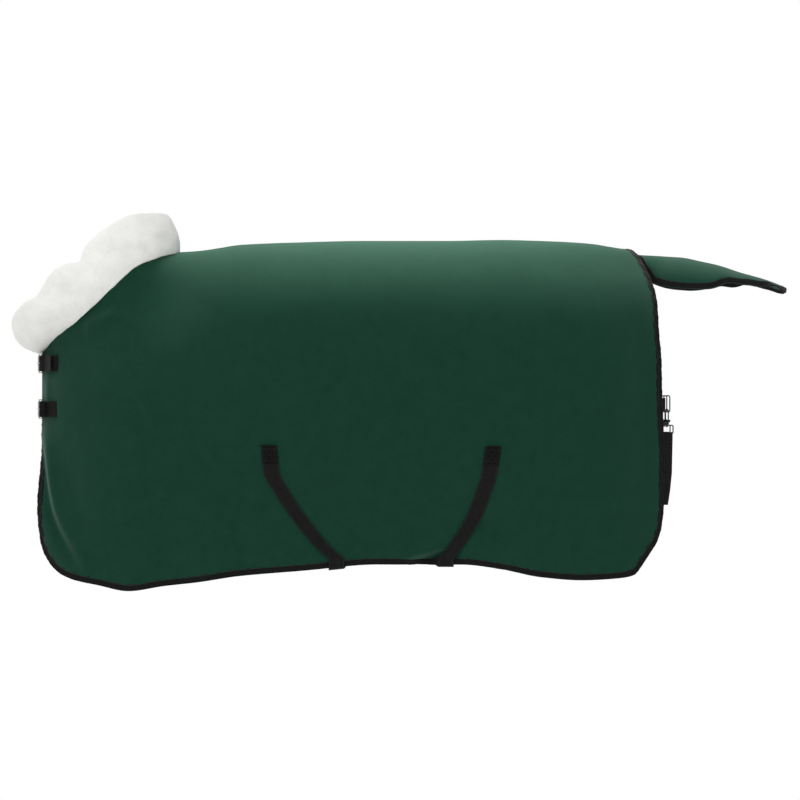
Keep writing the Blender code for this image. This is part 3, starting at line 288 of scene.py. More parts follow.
def path_curve(points):
    """Smooth curve through points, by the share of its length: a monotone cubic in each
    coordinate against the chord length."""
    pts = np.array(points, float)
    along = run_along(pts)
    lines = [smooth_line(np.stack([along / along[-1], pts[:, k]], 1)) for k in range(pts.shape[1])]
    return lambda u: np.stack([line(u) for line in lines], axis=-1)


def raised(points):
    """Side-view (x, drop below the back) points as (x, z)."""
    return np.array(points, float) + (0.0, TOP)


def ease(t):
    """Smooth step: 3t^2 - 2t^3 on 0 to 1."""
    t = np.clip(t, 0.0, 1.0)
    return t * t * (3 - 2 * t)


def quarter(t):
    """Quarter-ellipse rise: the square root of 1 - (1 - t)^2."""
    return np.sqrt(np.clip(1 - (1 - np.clip(t, 0.0, 1.0)) ** 2, 0.0, 1.0))


SPINE_Z, CREST_Z = smooth_line(raised(SPINE)), smooth_line(raised(CREST))
BREAST_X = smooth_line([(TOP + z, x) for z, x in BREAST])
BUTTOCK_X = smooth_line([(TOP + z, x) for z, x in BUTTOCK])
NECKLINE_AT, EDGE_AT = path_curve(raised(NECKLINE)), path_curve(raised(EDGE))
SPINE_X = smooth_line([(NECK_SHARE, -0.718), (0.44, -0.24), (0.60, 0.36), (0.68, 0.48),
                       (1.0, 0.600)])
UPPER_HALF = smooth_line([(-1.30, 0.70), (-1.14, 0.80), (-0.95, 1.0), (-0.80, 1.2),
                          (-0.60, 1.6), (-0.30, 1.9), (0.0, 2.0)])
LOWER_HALF = smooth_line([(-1.20, 0.62), (-0.95, 0.76), (-0.70, 0.86), (-0.30, 0.96),
                          (0.0, 1.0), (0.30, 1.0), (0.55, 0.95), (0.90, 0.90)])


def half_width(x, z):
    """Half width of the dressed horse at a side-view place: the full width there times a
    quarter ellipse down from the back, one in from the breast and one from the buttock,
    times a slight taper to the hem and the girth."""
    drop = z - TOP
    upper = NECK_HALF_WIDTH * UPPER_HALF(x)
    lower = BARREL_HALF_WIDTH * LOWER_HALF(x)
    upper = np.where(x > -0.30, np.maximum(upper, lower), upper)
    share = np.maximum(ease((-0.12 - drop) / 0.38), ease((x + 0.72) / 0.4))
    full = upper + (lower - upper) * share
    hem = 1 - HEM_TAPER * ease((-0.42 - drop) / 0.62)
    girth = 1 - GIRTH_TAPER * np.exp(-((x + 0.04) / 0.26) ** 2) * ease((-0.62 - drop) / 0.40)
    return (full * quarter((CREST_Z(x) - z) / BACK_ROUND)
            * quarter((x - BREAST_X(z)) / BREAST_ROUND)
            * quarter((BUTTOCK_X(z) - x) / BUTTOCK_ROUND) * hem * girth)


def outward(points, side):
    """Unit normal of the dressed shape: the gradient of y - half_width, by differences."""
    x = np.maximum(points[..., 0], BREAST_X(points[..., 2]) + 0.002)
    z = np.minimum(points[..., 2], CREST_Z(x) - 0.002)
    d = 0.0015
    gx = (half_width(x + d, z) - half_width(x - d, z)) / (2 * d)
    gz = (half_width(x, z + d) - half_width(x, z - d)) / (2 * d)
    way = np.where(points[..., 1] * side > -0.004, side, -side)
    return unit(np.stack([-gx, way, -gz], axis=-1))


# Each fold: its line in side view, its half width and how far it stands off the cloth.
FOLDS = [([(-1.035, -0.262), (-0.975, -0.232), (-0.905, -0.196)], 0.024, -0.0075),
         ([(-1.020, -0.285), (-0.965, -0.256), (-0.885, -0.218)], 0.028, 0.00825),
         ([(-1.1245, -0.548), (-1.112, -0.722), (-1.087, -0.848), (-1.024, -0.965),
           (-0.9765, -1.052)], 0.016, 0.0090),
         ([(-1.140, -0.60), (-1.133, -0.722), (-1.113, -0.860), (-1.056, -0.985),
           (-1.010, -1.055)], 0.015, -0.0120),
         ([(-1.070, -0.56), (-1.045, -0.80), (-0.950, -0.99)], 0.035, -0.00525),
         ([(-1.118, -0.395), (-1.112, -0.53)], 0.010, 0.00525),
         ([(-0.030, -0.995), (0.060, -0.974), (0.142, -0.942)], 0.017, 0.0150),
         ([(0.010, -1.012), (0.070, -0.998), (0.130, -0.975)], 0.014, -0.0165),
         ([(0.215, -0.880), (0.270, -0.920), (0.340, -0.955)], 0.032, -0.01275),
         ([(0.230, -0.955), (0.320, -0.995), (0.420, -1.010)], 0.026, 0.0090),
         ([(-0.490, -0.90), (-0.400, -0.960), (-0.340, -1.01)], 0.030, 0.0075),
         ([(-0.600, -0.83), (-0.520, -0.930), (-0.470, -1.03)], 0.036, -0.00675),
         ([(0.700, -0.16), (0.735, -0.40), (0.745, -0.75), (0.70, -0.97)], 0.040, -0.0060),
         ([(-0.424, -0.655), (-0.4, -0.76), (-0.299, -0.910), (-0.215, -1.000)], 0.034,
          -0.00675),
         ([(0.273, -0.655), (0.239, -0.806), (0.180, -0.926), (0.128, -1.0)], 0.034, -0.00675)]


def drape(x, z):
    """How far the cloth stands off its plain shape: for each fold, its height times a bell
    of the distance from its line, faded over its two ends (a hollow runs a little past
    them); and slow waves, which are sums of sines and grow towards the hem."""
    drop = z - TOP
    total = 0.0012 * (np.sin(9.1 * x + 5.3 * drop + 0.6) + np.sin(14.7 * drop - 6.1 * x + 2.1)
                      + 0.6 * np.sin(23.0 * x - 11.0 * drop + 1.3))
    total = total * ease(-drop / 0.25)
    low = 0.0045 * np.sin(19.0 * x + 0.9) + 0.0030 * np.sin(31.0 * x + 2.6)
    total = total + low * ease((-0.80 - drop) / 0.25)
    for line, width, height in FOLDS:
        pts = path_curve(line)(np.linspace(0, 1, 10))
        starts = run_along(pts)
        best = np.full(np.shape(x), 9.0)
        where = np.zeros(np.shape(x))
        for a, b, size, start in zip(pts[:-1], pts[1:], np.diff(starts), starts):
            t = np.clip(((x - a[0]) * (b[0] - a[0]) + (drop - a[1]) * (b[1] - a[1])) / size ** 2,
                        0, 1)
            away = np.hypot(x - a[0] - t * (b[0] - a[0]), drop - a[1] - t * (b[1] - a[1]))
            where = np.where(away < best, (start + t * size) / starts[-1], where)
            best = np.minimum(away, best)
        past = 0.0 if height > 0 else 0.05
        end = 0.25 + past
        fade = ease((where + past) / end) * ease((1 + past - where) / end)
        total = total + height * np.exp(-(best / width) ** 2) * fade
    return total


def walk(points, distance):
    """Points at given distances along each of a stack of polylines, by linear steps."""
    run = np.concatenate([np.zeros_like(points[:, :1, 0]),
                          np.cumsum(np.linalg.norm(np.diff(points, axis=1), axis=2), axis=1)], 1)
    shift = np.arange(len(run))[:, None] * 100.0
    spot = np.searchsorted((run + shift).ravel(), (distance + shift).ravel(), side="right")
    spot = spot.reshape(distance.shape) - 1 - np.arange(len(run))[:, None] * run.shape[1]
    spot = np.clip(spot, 0, run.shape[1] - 2)
    low, high = np.take_along_axis(run, spot, 1), np.take_along_axis(run, spot + 1, 1)
    t = np.clip((distance - low) / np.maximum(high - low, 1e-9), 0, 1)[..., None]
    a = np.take_along_axis(points, spot[..., None], 1)
    b = np.take_along_axis(points, spot[..., None] + 1, 1)
    return a + (b - a) * t


def columns(u, side):
    """Lines down the cloth from the neckline or spine to the bound edge, one for each u,
    run on round the breast where the near panel laps over; with each one's length.  The
    last few bend to the back's own line instead of a chord, up to the dock."""
    neck = NECKLINE_AT(0.14 + 0.86 * np.clip(u / NECK_SHARE, 0, 1))
    spine_x = SPINE_X(np.clip(u, NECK_SHARE, 1))
    spine = np.stack([spine_x, SPINE_Z(spine_x)], -1)
    top = np.where((u < NECK_SHARE)[:, None], neck, spine)
    v = 0.5 - 0.5 * np.cos(np.linspace(0, math.pi, COLUMN_POINTS))
    plan = top[:, None] + (EDGE_AT(u) - top)[:, None] * v[None, :, None]
    dock_x, dock_z = EDGE_AT(1.0)
    x = np.clip(plan[..., 0], SPINE_X(1.0), dock_x)
    chord = np.interp(x, [SPINE_X(1.0), dock_x], [SPINE_Z(SPINE_X(1.0)), dock_z])
    plan[..., 1] += ease((u - 0.96) / 0.04)[:, None] * (SPINE_Z(x) - chord)
    width = half_width(plan[..., 0], plan[..., 1])
    width = np.where((u >= NECK_SHARE)[:, None], np.maximum(width, 0.0003), width)
    down = np.stack([plan[..., 0], side * width, plan[..., 1]], -1)
    length = np.linalg.norm(np.diff(down, axis=1), axis=2).sum(1)
    whole = np.concatenate([down, down[:, ::-1][:, 1:] * (1, -1, 1)], axis=1)
    if side == NEAR:
        length = length + CHEST_OVERLAP * ease((0.115 - u) / 0.09)
    return whole, length


def bound_width(u, whole, length):
    """Length of each column that lies under the binding: its width over the sine of the
    angle between the column and the edge."""
    ends = walk(whole, length[:, None])[:, 0]
    inward = unit(walk(whole, length[:, None] - 0.02)[:, 0] - ends)
    edge = unit(np.gradient(ends, axis=0))
    slant = np.sqrt(np.maximum(1 - (inward * edge).sum(1) ** 2, 0.04))
    return np.minimum(BINDING_WIDTH / slant, 0.7 * length)


def chest_lift(points, side):
    """Rise of the near panel over the off one: the step past the centre line, easing to
    nothing 160 mm behind the breast."""
    if side == OFF:
        return np.zeros(points.shape[:-1])
    ahead = points[..., 0] - BREAST_X(points[..., 2])
    past = (points[..., 1] > 0) & (ahead < 0.2)
    return CHEST_STEP * np.where(past, 1.0, ease((0.16 - ahead) / 0.12))


def facing_out(verts, faces):
    """The faces, turned round if the signed volume that they close is negative."""
    a, b, c, d = (verts[faces[:, k]] - verts.mean(0) for k in range(4))
    volume = (a * np.cross(b, c)).sum() + (a * np.cross(c, d)).sum()
    return faces if volume > 0 else faces[:, ::-1]


def two_sided(outer, inner):
    """Vertices and quads of a closed sheet between two grids, rims included."""
    rows, cols = outer.shape[:2]
    verts = np.concatenate([outer.reshape(-1, 3), inner.reshape(-1, 3)])
    top, under = grid_faces(rows, cols), grid_faces(rows, cols, rows * cols)[:, ::-1]
    ring = np.arange(rows * cols).reshape(rows, cols)
    loop = np.concatenate([ring[0, :-1], ring[:-1, -1], ring[-1, :0:-1], ring[:0:-1, 0]])
    ahead = np.roll(loop, -1)
    rim = np.stack([loop, ahead, ahead + rows * cols, loop + rows * cols], -1)
    return verts, facing_out(verts, np.concatenate([top, under, rim]))


def lay(u, distance, side, whole):
    """Points and normals of the cloth at distances down its columns, folds included."""
    flat = walk(whole, distance)
    normal = outward(flat, side)
    rise = drape(flat[..., 0], flat[..., 2]) * ease((u - 0.01) / 0.05)[:, None]
    seam = 0.0018 * np.exp(-(flat[..., 1] / 0.006) ** 2) * (u >= NECK_SHARE)[:, None]
    return flat + normal * (chest_lift(flat, side) + rise - seam)[..., None], normal


def keep_side(skin, u, side):
    """Cloth at the spine stays on its own side of the centre line."""
    held = np.maximum(skin[..., 1] * side, 0.0002) * side
    skin[..., 1] = np.where((u >= NECK_SHARE)[:, None], held, skin[..., 1])
    return skin


def sheet_area(grid):
    """Sum over a grid's cells of the parallelogram on their first two sides."""
    start = grid[:-1, :-1]
    cells = np.cross(grid[1:, :-1] - start, grid[:-1, 1:] - start)
    return float(np.linalg.norm(cells, axis=-1).sum())


def maths(tree, operation, first, second=0.0):
    """One sum in a shader; operations on one value leave the second aside."""
    return node(tree, "Math", {0: first, 1: second}, operation=operation)


# Polyester fleece, brushed: a dull dark green whose pile catches light at the edges.
fleece, tree, shader = material("brushed polyester fleece", Roughness=0.96, Sheen_Weight=0.30,
                                Sheen_Roughness=0.50, Sheen_Tint=linear("#b9d2c6"),
                                Specular_IOR_Level=0.03)
place = node(tree, "TexCoord", {}, "Object")
mottle = noise(tree, place, 26.0, 5.0, Roughness=0.62)
pile = noise(tree, place, 420.0, 3.0, Roughness=0.7)
# The green varies at random by the mottle; the fine pile noise, which is also the bump's height,
# lightens it on raised pile and darkens it between: painted light and shade on the pile.
shade = node(tree, "Mix", {"Factor": 1.0, "A": tinted(tree, mottle, "#0f3023", "#143b2d"),
                           "B": ranged(tree, pile, 0.3, 0.75, 0.78, 1.25)},
             "Result", data_type="RGBA", blend_type="MULTIPLY")
dress(tree, shader, shade, maths(tree, "ADD", pile, mottle), 0.35, 0.0012)

U = np.concatenate([np.linspace(0, 0.15, 70), np.linspace(0.15, 1.0, 200)[1:]])
DOWN = np.linspace(0, 1, 96)
TUCK = 0.004                # how far the cloth runs in under the binding
panels = {}
for word, side in SIDES:
    whole, length = columns(U, side)
    last = length - bound_width(U, whole, length) + TUCK
    share = 0.25 * DOWN + 0.75 * (0.5 - 0.5 * np.cos(DOWN * math.pi))
    outer, normal = lay(U, last[:, None] * share[None], side, whole)
    inner = keep_side(outer - normal * CLOTH, U, side)
    outer = keep_side(outer, U, side)
    verts, faces = two_sided(outer, inner)
    panel = mesh_piece(f"{word}_fleece_panel", verts, faces, fleece)
    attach(panel, "rug")
    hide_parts(f"{word}_body_panel")
    panels[word] = (panel, sheet_area(outer))


# ======================================================================================
# Edge bindings.
# Black woven polyester tape, folded over the raw edge of each panel and sewn through with
# one line of lockstitch near its inner edge; it puckers a little between stitches.
# ======================================================================================
BINDING_THICK = 0.0050
STITCH_WIDTH, STITCH_PITCH, STITCH_LENGTH = 0.0014, 0.0042, 0.0031


def swept(name, middle, across, normal, width, thick, look, power=4.0):
    """Tape along a line: round each point a superellipse, |a/w|^p + |n/t|^p = 1, with a
    across the tape and n through it.  UV is the run along and the place across, in
    metres; the ends are closed."""
    count, sides = len(middle), 20
    turn = np.arange(sides) * 2 * math.pi / sides
    a = np.sign(np.cos(turn)) * np.abs(np.cos(turn)) ** (2 / power)
    n = np.sign(np.sin(turn)) * np.abs(np.sin(turn)) ** (2 / power)
    width, thick = (np.broadcast_to(size, (count,))[:, None, None] for size in (width, thick))
    ring = (middle[:, None] + across[:, None] * a[None, :, None] * width / 2
            + normal[:, None] * n[None, :, None] * thick / 2)
    uv = np.stack([np.broadcast_to(run_along(middle)[:, None], (count, sides)),
                   a[None] * width[..., 0] / 2], -1).reshape(-1, 2)
    verts = ring.reshape(-1, 3)
    faces = grid_faces(count, sides, wrap=True)
    half = np.arange(sides // 2 - 1)
    cap = np.stack([half, half + 1, sides - 2 - half, sides - 1 - half], -1)
    cap = np.concatenate([cap, cap[:, ::-1] + (count - 1) * sides])
    faces = np.concatenate([faces, cap])
    return mesh_piece(name, verts, facing_out(verts, faces), look, uv)


def wave(tree, value, pitch):
    """Sine that repeats at a pitch in metres."""
    return maths(tree, "SINE", maths(tree, "MULTIPLY", value, 2 * math.pi / pitch))


def near_line(tree, value, where, half):
    """1 where a value is within half of a place, else 0."""
    away = maths(tree, "ABSOLUTE", maths(tree, "SUBTRACT", value, where))
    return maths(tree, "LESS_THAN", away, half)


def tape_look(name, dark, pale, rib, edge_stitch, thread):
    """Woven tape: cross ribs and warp lines at the rib pitch, and a dashed stitch line at
    each given place across the tape, from the UV in metres."""
    look, tree, shader = material(name, Roughness=0.78, Sheen_Weight=0.04, Sheen_Roughness=0.5,
                                  Specular_IOR_Level=0.10)
    uv = node(tree, "UVMap", {}, uv_map="cloth")
    along, over = (node(tree, "SeparateXYZ", {0: uv}, k) for k in (0, 1))
    weave = maths(tree, "MULTIPLY", wave(tree, along, rib), wave(tree, over, rib * 0.8))
    fluff = noise(tree, node(tree, "TexCoord", {}, "Object"), 60.0, 4.0)
    height = ranged(tree, weave, -1.0, 1.0, 0.25, 0.75)
    result = tinted(tree, maths(tree, "MULTIPLY", height, fluff), dark, pale)
    for where in edge_stitch:
        line = near_line(tree, over, where, STITCH_WIDTH / 2)
        dash = maths(tree, "LESS_THAN", maths(tree, "MODULO", along, STITCH_PITCH), STITCH_LENGTH)
        stitch = maths(tree, "MULTIPLY", line, dash)
        result = tinted(tree, stitch, result, thread)
        height = maths(tree, "SUBTRACT", height, stitch)
    dress(tree, shader, result, height, 0.5, 0.0006)
    return look


binding_tape = tape_look("black polyester binding tape", "#070808", "#1c1d1d", 0.0030,
                         (-0.0082,), "#34403a")
EDGE_U = np.concatenate([np.linspace(0, 0.15, 240), np.linspace(0.15, 1.0, 1100)[1:]])
for word, side in SIDES:
    whole, length = columns(EDGE_U, side)
    bound = bound_width(EDGE_U, whole, length)
    rows = length[:, None] - bound[:, None] * np.array([1.0, 0.5, 0.0])[None]
    band, normal = lay(EDGE_U, rows, side, whole)
    under = band - normal * CLOTH / 2
    middle = under[:, 1]
    size = np.linalg.norm(under[:, 2] - under[:, 0], axis=1)
    across = unit(under[:, 2] - under[:, 0])
    through = unit(normal[:, 1] - across * (normal[:, 1] * across).sum(1, keepdims=True))
    turns = run_along(middle) * 2 * math.pi
    pucker = 0.0005 * np.sin(turns / 0.019) + 0.0007 * np.sin(turns / 0.047)
    middle = keep_side((middle + through * pucker[:, None])[:, None], EDGE_U, side)[:, 0]
    thick = BINDING_THICK + 0.0004 * np.sin(turns / 0.013)
    binding = swept(f"{word}_binding_tape", middle, across, through, size, thick, binding_tape)
    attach(binding, "rug")
    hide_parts(f"{word}_edge_binding")
    panel, area = panels[word]


# ======================================================================================
# Neck collar.
# A thick roll of white long-pile plush over padding, sewn to the neckline all the way
# round; it stands up the neck and gathers into three soft lobes.
# ======================================================================================
COLLAR_EDGE = [(-1.163, -0.352), (-1.200, -0.334), (-1.227, -0.302), (-1.236, -0.258),
               (-1.219, -0.222), (-1.190, -0.194), (-1.156, -0.178), (-1.139, -0.145),
               (-1.117, -0.113), (-1.068, -0.078), (-1.024, -0.066), (-1.005, -0.022),
               (-0.960, 0.023), (-0.904, 0.058), (-0.850, 0.080), (-0.800, 0.085),
               (-0.753, 0.085)]
COLLAR_HALF_THICK = 0.019
# Each crease between two lobes: its place along the collar, half width and depth.
CREASES = [(0.395, 0.030, 0.30), (0.640, 0.034, 0.34), (0.180, 0.018, 0.16)]


def lumps(points, size, seed):
    """Soft lumps of one size: the sum of 28 cosine waves of about that wavelength in
    random directions, over 5.3 so that it lies mostly between -1 and 1."""
    rng = np.random.default_rng(seed)
    way = rng.normal(size=(28, 3))
    way *= (2 * math.pi / size * rng.uniform(0.7, 1.4, 28) / np.linalg.norm(way, axis=1))[:, None]
    return np.cos(points @ way.T + rng.uniform(0, 6.28, 28)).sum(-1) / 5.3


# The collar's foot: up the first column from the breast, then along the neckline to the
# withers; it ends clear of the centre line at the breast.
whole, _ = columns(np.linspace(0, NECK_SHARE, 200), OFF)
base = np.concatenate([whole[0, :COLUMN_POINTS][::-1], whole[1:, 0]])
withers_x, withers_z = NECKLINE_AT(1.0)
base = np.vstack([base[base[:, 1] > 0.024], [[withers_x, 0.0, withers_z]]])
run = run_along(base[:, ::2])
A = np.concatenate([0.06 * np.linspace(0, 1, 26)[:-1] ** 1.6, np.linspace(0.06, 1, 270)])
foot = np.stack([np.interp(A, run / run[-1], base[:, k]) for k in range(3)], -1)
brim = path_curve(raised(COLLAR_EDGE))(A)
B = np.linspace(-0.03, 1.0, 40)
plan = foot[:, None, ::2] + (brim - foot[:, ::2])[:, None] * B[None, :, None]
half = np.stack([plan[..., 0], foot[:, None, 1] * (1 - 0.10 * B[None]), plan[..., 1]], -1)
sheet = np.concatenate([half, half[-2::-1] * (1, -1, 1)])
share = np.concatenate([A, A[-2::-1]])
normal = unit(np.cross(np.gradient(sheet, axis=0), np.gradient(sheet, axis=1)))
normal = -normal if normal[len(A) // 2, 20, 1] < 0 else normal

AROUND = 168
turn = np.arange(AROUND) * 2 * math.pi / AROUND
height = 0.5 - 0.5 * np.cos(turn)
side_of = np.sign(np.sin(turn)) * np.abs(np.sin(turn)) ** 0.72
spot = height * (len(B) - 1)
low = np.clip(spot.astype(int), 0, len(B) - 2)
part = (spot - low)[None, :, None]
middle = sheet[:, low] * (1 - part) + sheet[:, low + 1] * part
through = normal[:, low] * (1 - part) + normal[:, low + 1] * part
puff = ((0.42 + 0.58 * np.sin(np.pi * np.clip(height, 0.04, 1.0)) ** 0.6)[None]
        * quarter((share + 0.002) / 0.10)[:, None])
for where, width, depth in CREASES:
    puff = puff * (1 - depth * np.exp(-((share - where)[:, None] / width) ** 2)
                   * ease((height[None] - 0.15) / 0.5))
plush = middle + through * (COLLAR_HALF_THICK * puff * side_of[None])[..., None]
flat = plush.reshape(-1, 3)
soft = 0.0022 * lumps(flat, 0.150, 3) + 0.0007 * lumps(flat, 0.050, 4)
tuft = 0.0004 * np.abs(lumps(flat, 0.0140, 5)) + 0.0001 * lumps(flat, 0.0080, 6)
swell = (soft + tuft).reshape(plush.shape[:2]) * quarter((share + 0.004) / 0.06)[:, None]
around = np.roll(plush, -1, axis=1) - np.roll(plush, 1, axis=1)
outwards = unit(np.cross(around, np.gradient(plush, axis=0)))
if (outwards[len(A) // 2, 40] * through[len(A) // 2, 40]).sum() < 0:
    outwards = -outwards
plush = plush + outwards * swell[..., None]
verts = plush.reshape(-1, 3)
faces = grid_faces(len(share), AROUND, wrap=True)
lid = np.arange(AROUND // 2 - 1)
lid = np.stack([lid, lid + 1, AROUND - 2 - lid, AROUND - 1 - lid], -1)
faces = np.concatenate([faces, lid, lid[:, ::-1] + (len(share) - 1) * AROUND])

# White polyester plush: near-white, matte, a fine deep pile, with painted shade in soft grey
# between tufts.
fur, tree, shader = material("white polyester plush", Roughness=1.0, Sheen_Weight=0.15,
                             Sheen_Roughness=0.6, Sheen_Tint=linear("#ffffff"),
                             Specular_IOR_Level=0.1)
place = node(tree, "TexCoord", {}, "Object")
tufts = noise(tree, place, 190.0, 4.0, Roughness=0.6, Distortion=0.5)
clumps = noise(tree, place, 22.0, 3.0)
# The tufts' noise, also the bump's height, greys the white where the pile is low: painted shade
# between the tufts; the clumps add random tone.
depth = ranged(tree, maths(tree, "ADD", tufts, clumps), 0.7, 1.2)
dress(tree, shader, tinted(tree, depth, "#dededa", "#e9e9e6"), tufts, 0.20, 0.0012)
collar = mesh_piece("plush_collar", verts, facing_out(verts, faces), fur)
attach(collar, "rug")
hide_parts("neck_collar")

# A flag stands between the gridded back light and the white plush.
shaded = bpy.data.collections.new("flagged off the back light")
shaded.objects.link(collar)
shaded.collection_objects[0].light_linking.link_state = "EXCLUDE"
back_light.light_linking.receiver_collection = shaded


# ======================================================================================
# Tail flap.
# One arched piece of the same fleece, bound all round, sewn in under the dock end of the
# back seam.
# ======================================================================================
# Places along the rug with the ridge's height, the drop of the arch and its half width.
FLAP_RIDGE = [(0.676, -0.0305), (0.703, -0.0415), (0.740, -0.0445), (0.803, -0.0480),
              (0.866, -0.053), (0.929, -0.066), (0.992, -0.078), (1.055, -0.097),
              (1.118, -0.116), (1.181, -0.141), (1.203, -0.152)]
FLAP_DEPTH = [(0.676, 0.0045), (0.703, 0.0055), (0.733, 0.012), (0.757, 0.048),
              (0.787, 0.088), (0.850, 0.101), (0.929, 0.086), (0.992, 0.062),
              (1.060, 0.037), (1.120, 0.021), (1.180, 0.009), (1.203, 0.004)]
FLAP_HALF = [(0.676, 0.034), (0.703, 0.031), (0.735, 0.038), (0.757, 0.058),
             (0.787, 0.086), (0.825, 0.124), (0.870, 0.148), (0.930, 0.152),
             (1.000, 0.147), (1.100, 0.130), (1.160, 0.104), (1.190, 0.075),
             (1.203, 0.045)]
RIDGE, DEPTH, HALF = (smooth_line(points) for points in (FLAP_RIDGE, FLAP_DEPTH, FLAP_HALF))


def flap_point(x, t):
    """Arch across the tail: y = half sin(t pi/2), dropping by depth (1 - cos(t pi/2)); the
    free edges wave a few millimetres, more towards the tip."""
    wave = ease((x - 0.86) / 0.2) * np.abs(t) ** 3
    y = HALF(x) * np.sin(t * math.pi / 2)
    z = TOP + RIDGE(x) - DEPTH(x) * (1 - np.cos(t * math.pi / 2))
    z = z + wave * (0.0050 * np.sin(x * 46.0 + 1.5 * t) + 0.0025 * np.sin(x * 81.0 + 2.0))
    z = z + 0.0022 * np.sin(x * 21.0 + 1.3) * np.cos(3.1 * t) * ease((x - 0.80) / 0.1)
    return np.stack([x, y, z], axis=-1)


def flap_up(x, t):
    """Unit normal of the flap by differences."""
    d = 0.002
    return unit(np.cross(flap_point(x + d, t) - flap_point(x - d, t),
                         flap_point(x, t + d) - flap_point(x, t - d)))


TIP_START, TIP_CORNER = 1.172, 0.020
EDGE_T, CORNER_T = 0.925, 0.080
xs, ts = np.linspace(0.677, 1.186, 126), np.linspace(-0.875, 0.875, 90)
xx, tt = np.meshgrid(xs, ts, indexing="ij")
grid, up = flap_point(xx, tt), flap_up(xx, tt)
verts, faces = two_sided(grid, grid - up * CLOTH)
flap = mesh_piece("tail_flap_fleece", verts, faces, fleece)
area = sheet_area(grid)
# The tape's way round: up one side, a quarter turn at the corner, over the tip and back.
edge_x = np.linspace(0.678, TIP_START, 260)
tip_turn = np.linspace(0, math.pi / 2, 24)[1:]
side_x = np.concatenate([edge_x, TIP_START + TIP_CORNER * np.sin(tip_turn)])
side_t = np.concatenate([np.full(len(edge_x), EDGE_T),
                         EDGE_T - CORNER_T * (1 - np.cos(tip_turn))])
tip_t = np.linspace(EDGE_T - CORNER_T, CORNER_T - EDGE_T, 120)[1:-1]
tip_x = np.full(len(tip_t), TIP_START + TIP_CORNER)
route_x = np.concatenate([side_x, tip_x, side_x[::-1]])
route_t = -np.concatenate([side_t, tip_t, -side_t[::-1]])
middle, up = flap_point(route_x, route_t), flap_up(route_x, route_t)
middle = middle - up * CLOTH / 2
across = unit(np.cross(up, np.gradient(middle, axis=0)))
thick = BINDING_THICK + 0.0005 * np.sin(run_along(middle) * 2 * math.pi / 0.013)
flap_binding = swept("tail_flap_tape", middle, across, up, BINDING_WIDTH, thick, binding_tape)
for piece, stand in ((flap, "tail_flap"), (flap_binding, "tail_flap_binding")):
    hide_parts(stand)
    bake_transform(piece)


# ======================================================================================
# Surcingles.
# 50 mm black polypropylene webbing, four lengths: each is sewn to the side under a square
# of the same webbing with a boxed cross of stitches, hangs down under the hem, and
# crosses below the belly to a T-hook on the other side's slotted plate.
# ======================================================================================
WEBBING, WEB_THICK = 0.050, 0.0022
SLIDE_ROD, HOOK_REACH, GAP = 0.0035, 0.062, 0.0003
FOLD_RADIUS = SLIDE_ROD / 2 + GAP + WEB_THICK / 2 + 0.0002   # of the webbing round its bar
STRAP_LIFT, HEM_CLEAR = 0.0022, 0.012     # off the cloth; from the hem to where it turns in
NEAR_RUN, LEVELS_APART = 0.085, 0.011     # of the near strap under the belly; at the cross
FRONT_LINE = [(-0.424, -0.658), (-0.416, -0.731), (-0.381, -0.794), (-0.3465, -0.847),
              (-0.299, -0.910), (-0.252, -0.964), (-0.215, -0.998)]
REAR_LINE = [(0.273, -0.661), (0.2615, -0.737), (0.239, -0.806), (0.214, -0.869),
             (0.180, -0.926), (0.150, -0.970), (0.128, -0.998)]
RIB, SEWN_BOX = 0.0034, 0.037
SQUARE_WIDE, SQUARE_HIGH = WEBBING - 0.001, 0.060
webbing = tape_look("black polypropylene webbing", "#090909", "#252424", RIB,
                    (-0.0222, 0.0222), "#2a2d2c")


def hem_height(x):
    """Height of the bound hem below a place along the rug."""
    pts = EDGE_AT(np.linspace(0.2, 0.68, 400))
    return np.interp(x, pts[:, 0], pts[:, 1])


def on_cloth(x, z, side, lift):
    """Point at a lift over the draped cloth's outside, at a side-view place."""
    point = np.stack([x, side * half_width(x, z), z], axis=-1)
    return point + outward(point, side) * (lift + drape(x, z))[..., None]


def belly_start(line, side):
    """Plan place where a surcingle turns in under the hem."""
    x = raised(line)[-1, 0]
    foot = float(hem_height(x)) + HEM_CLEAR
    return np.array([x, side * (float(half_width(x, foot)) - 0.010)])


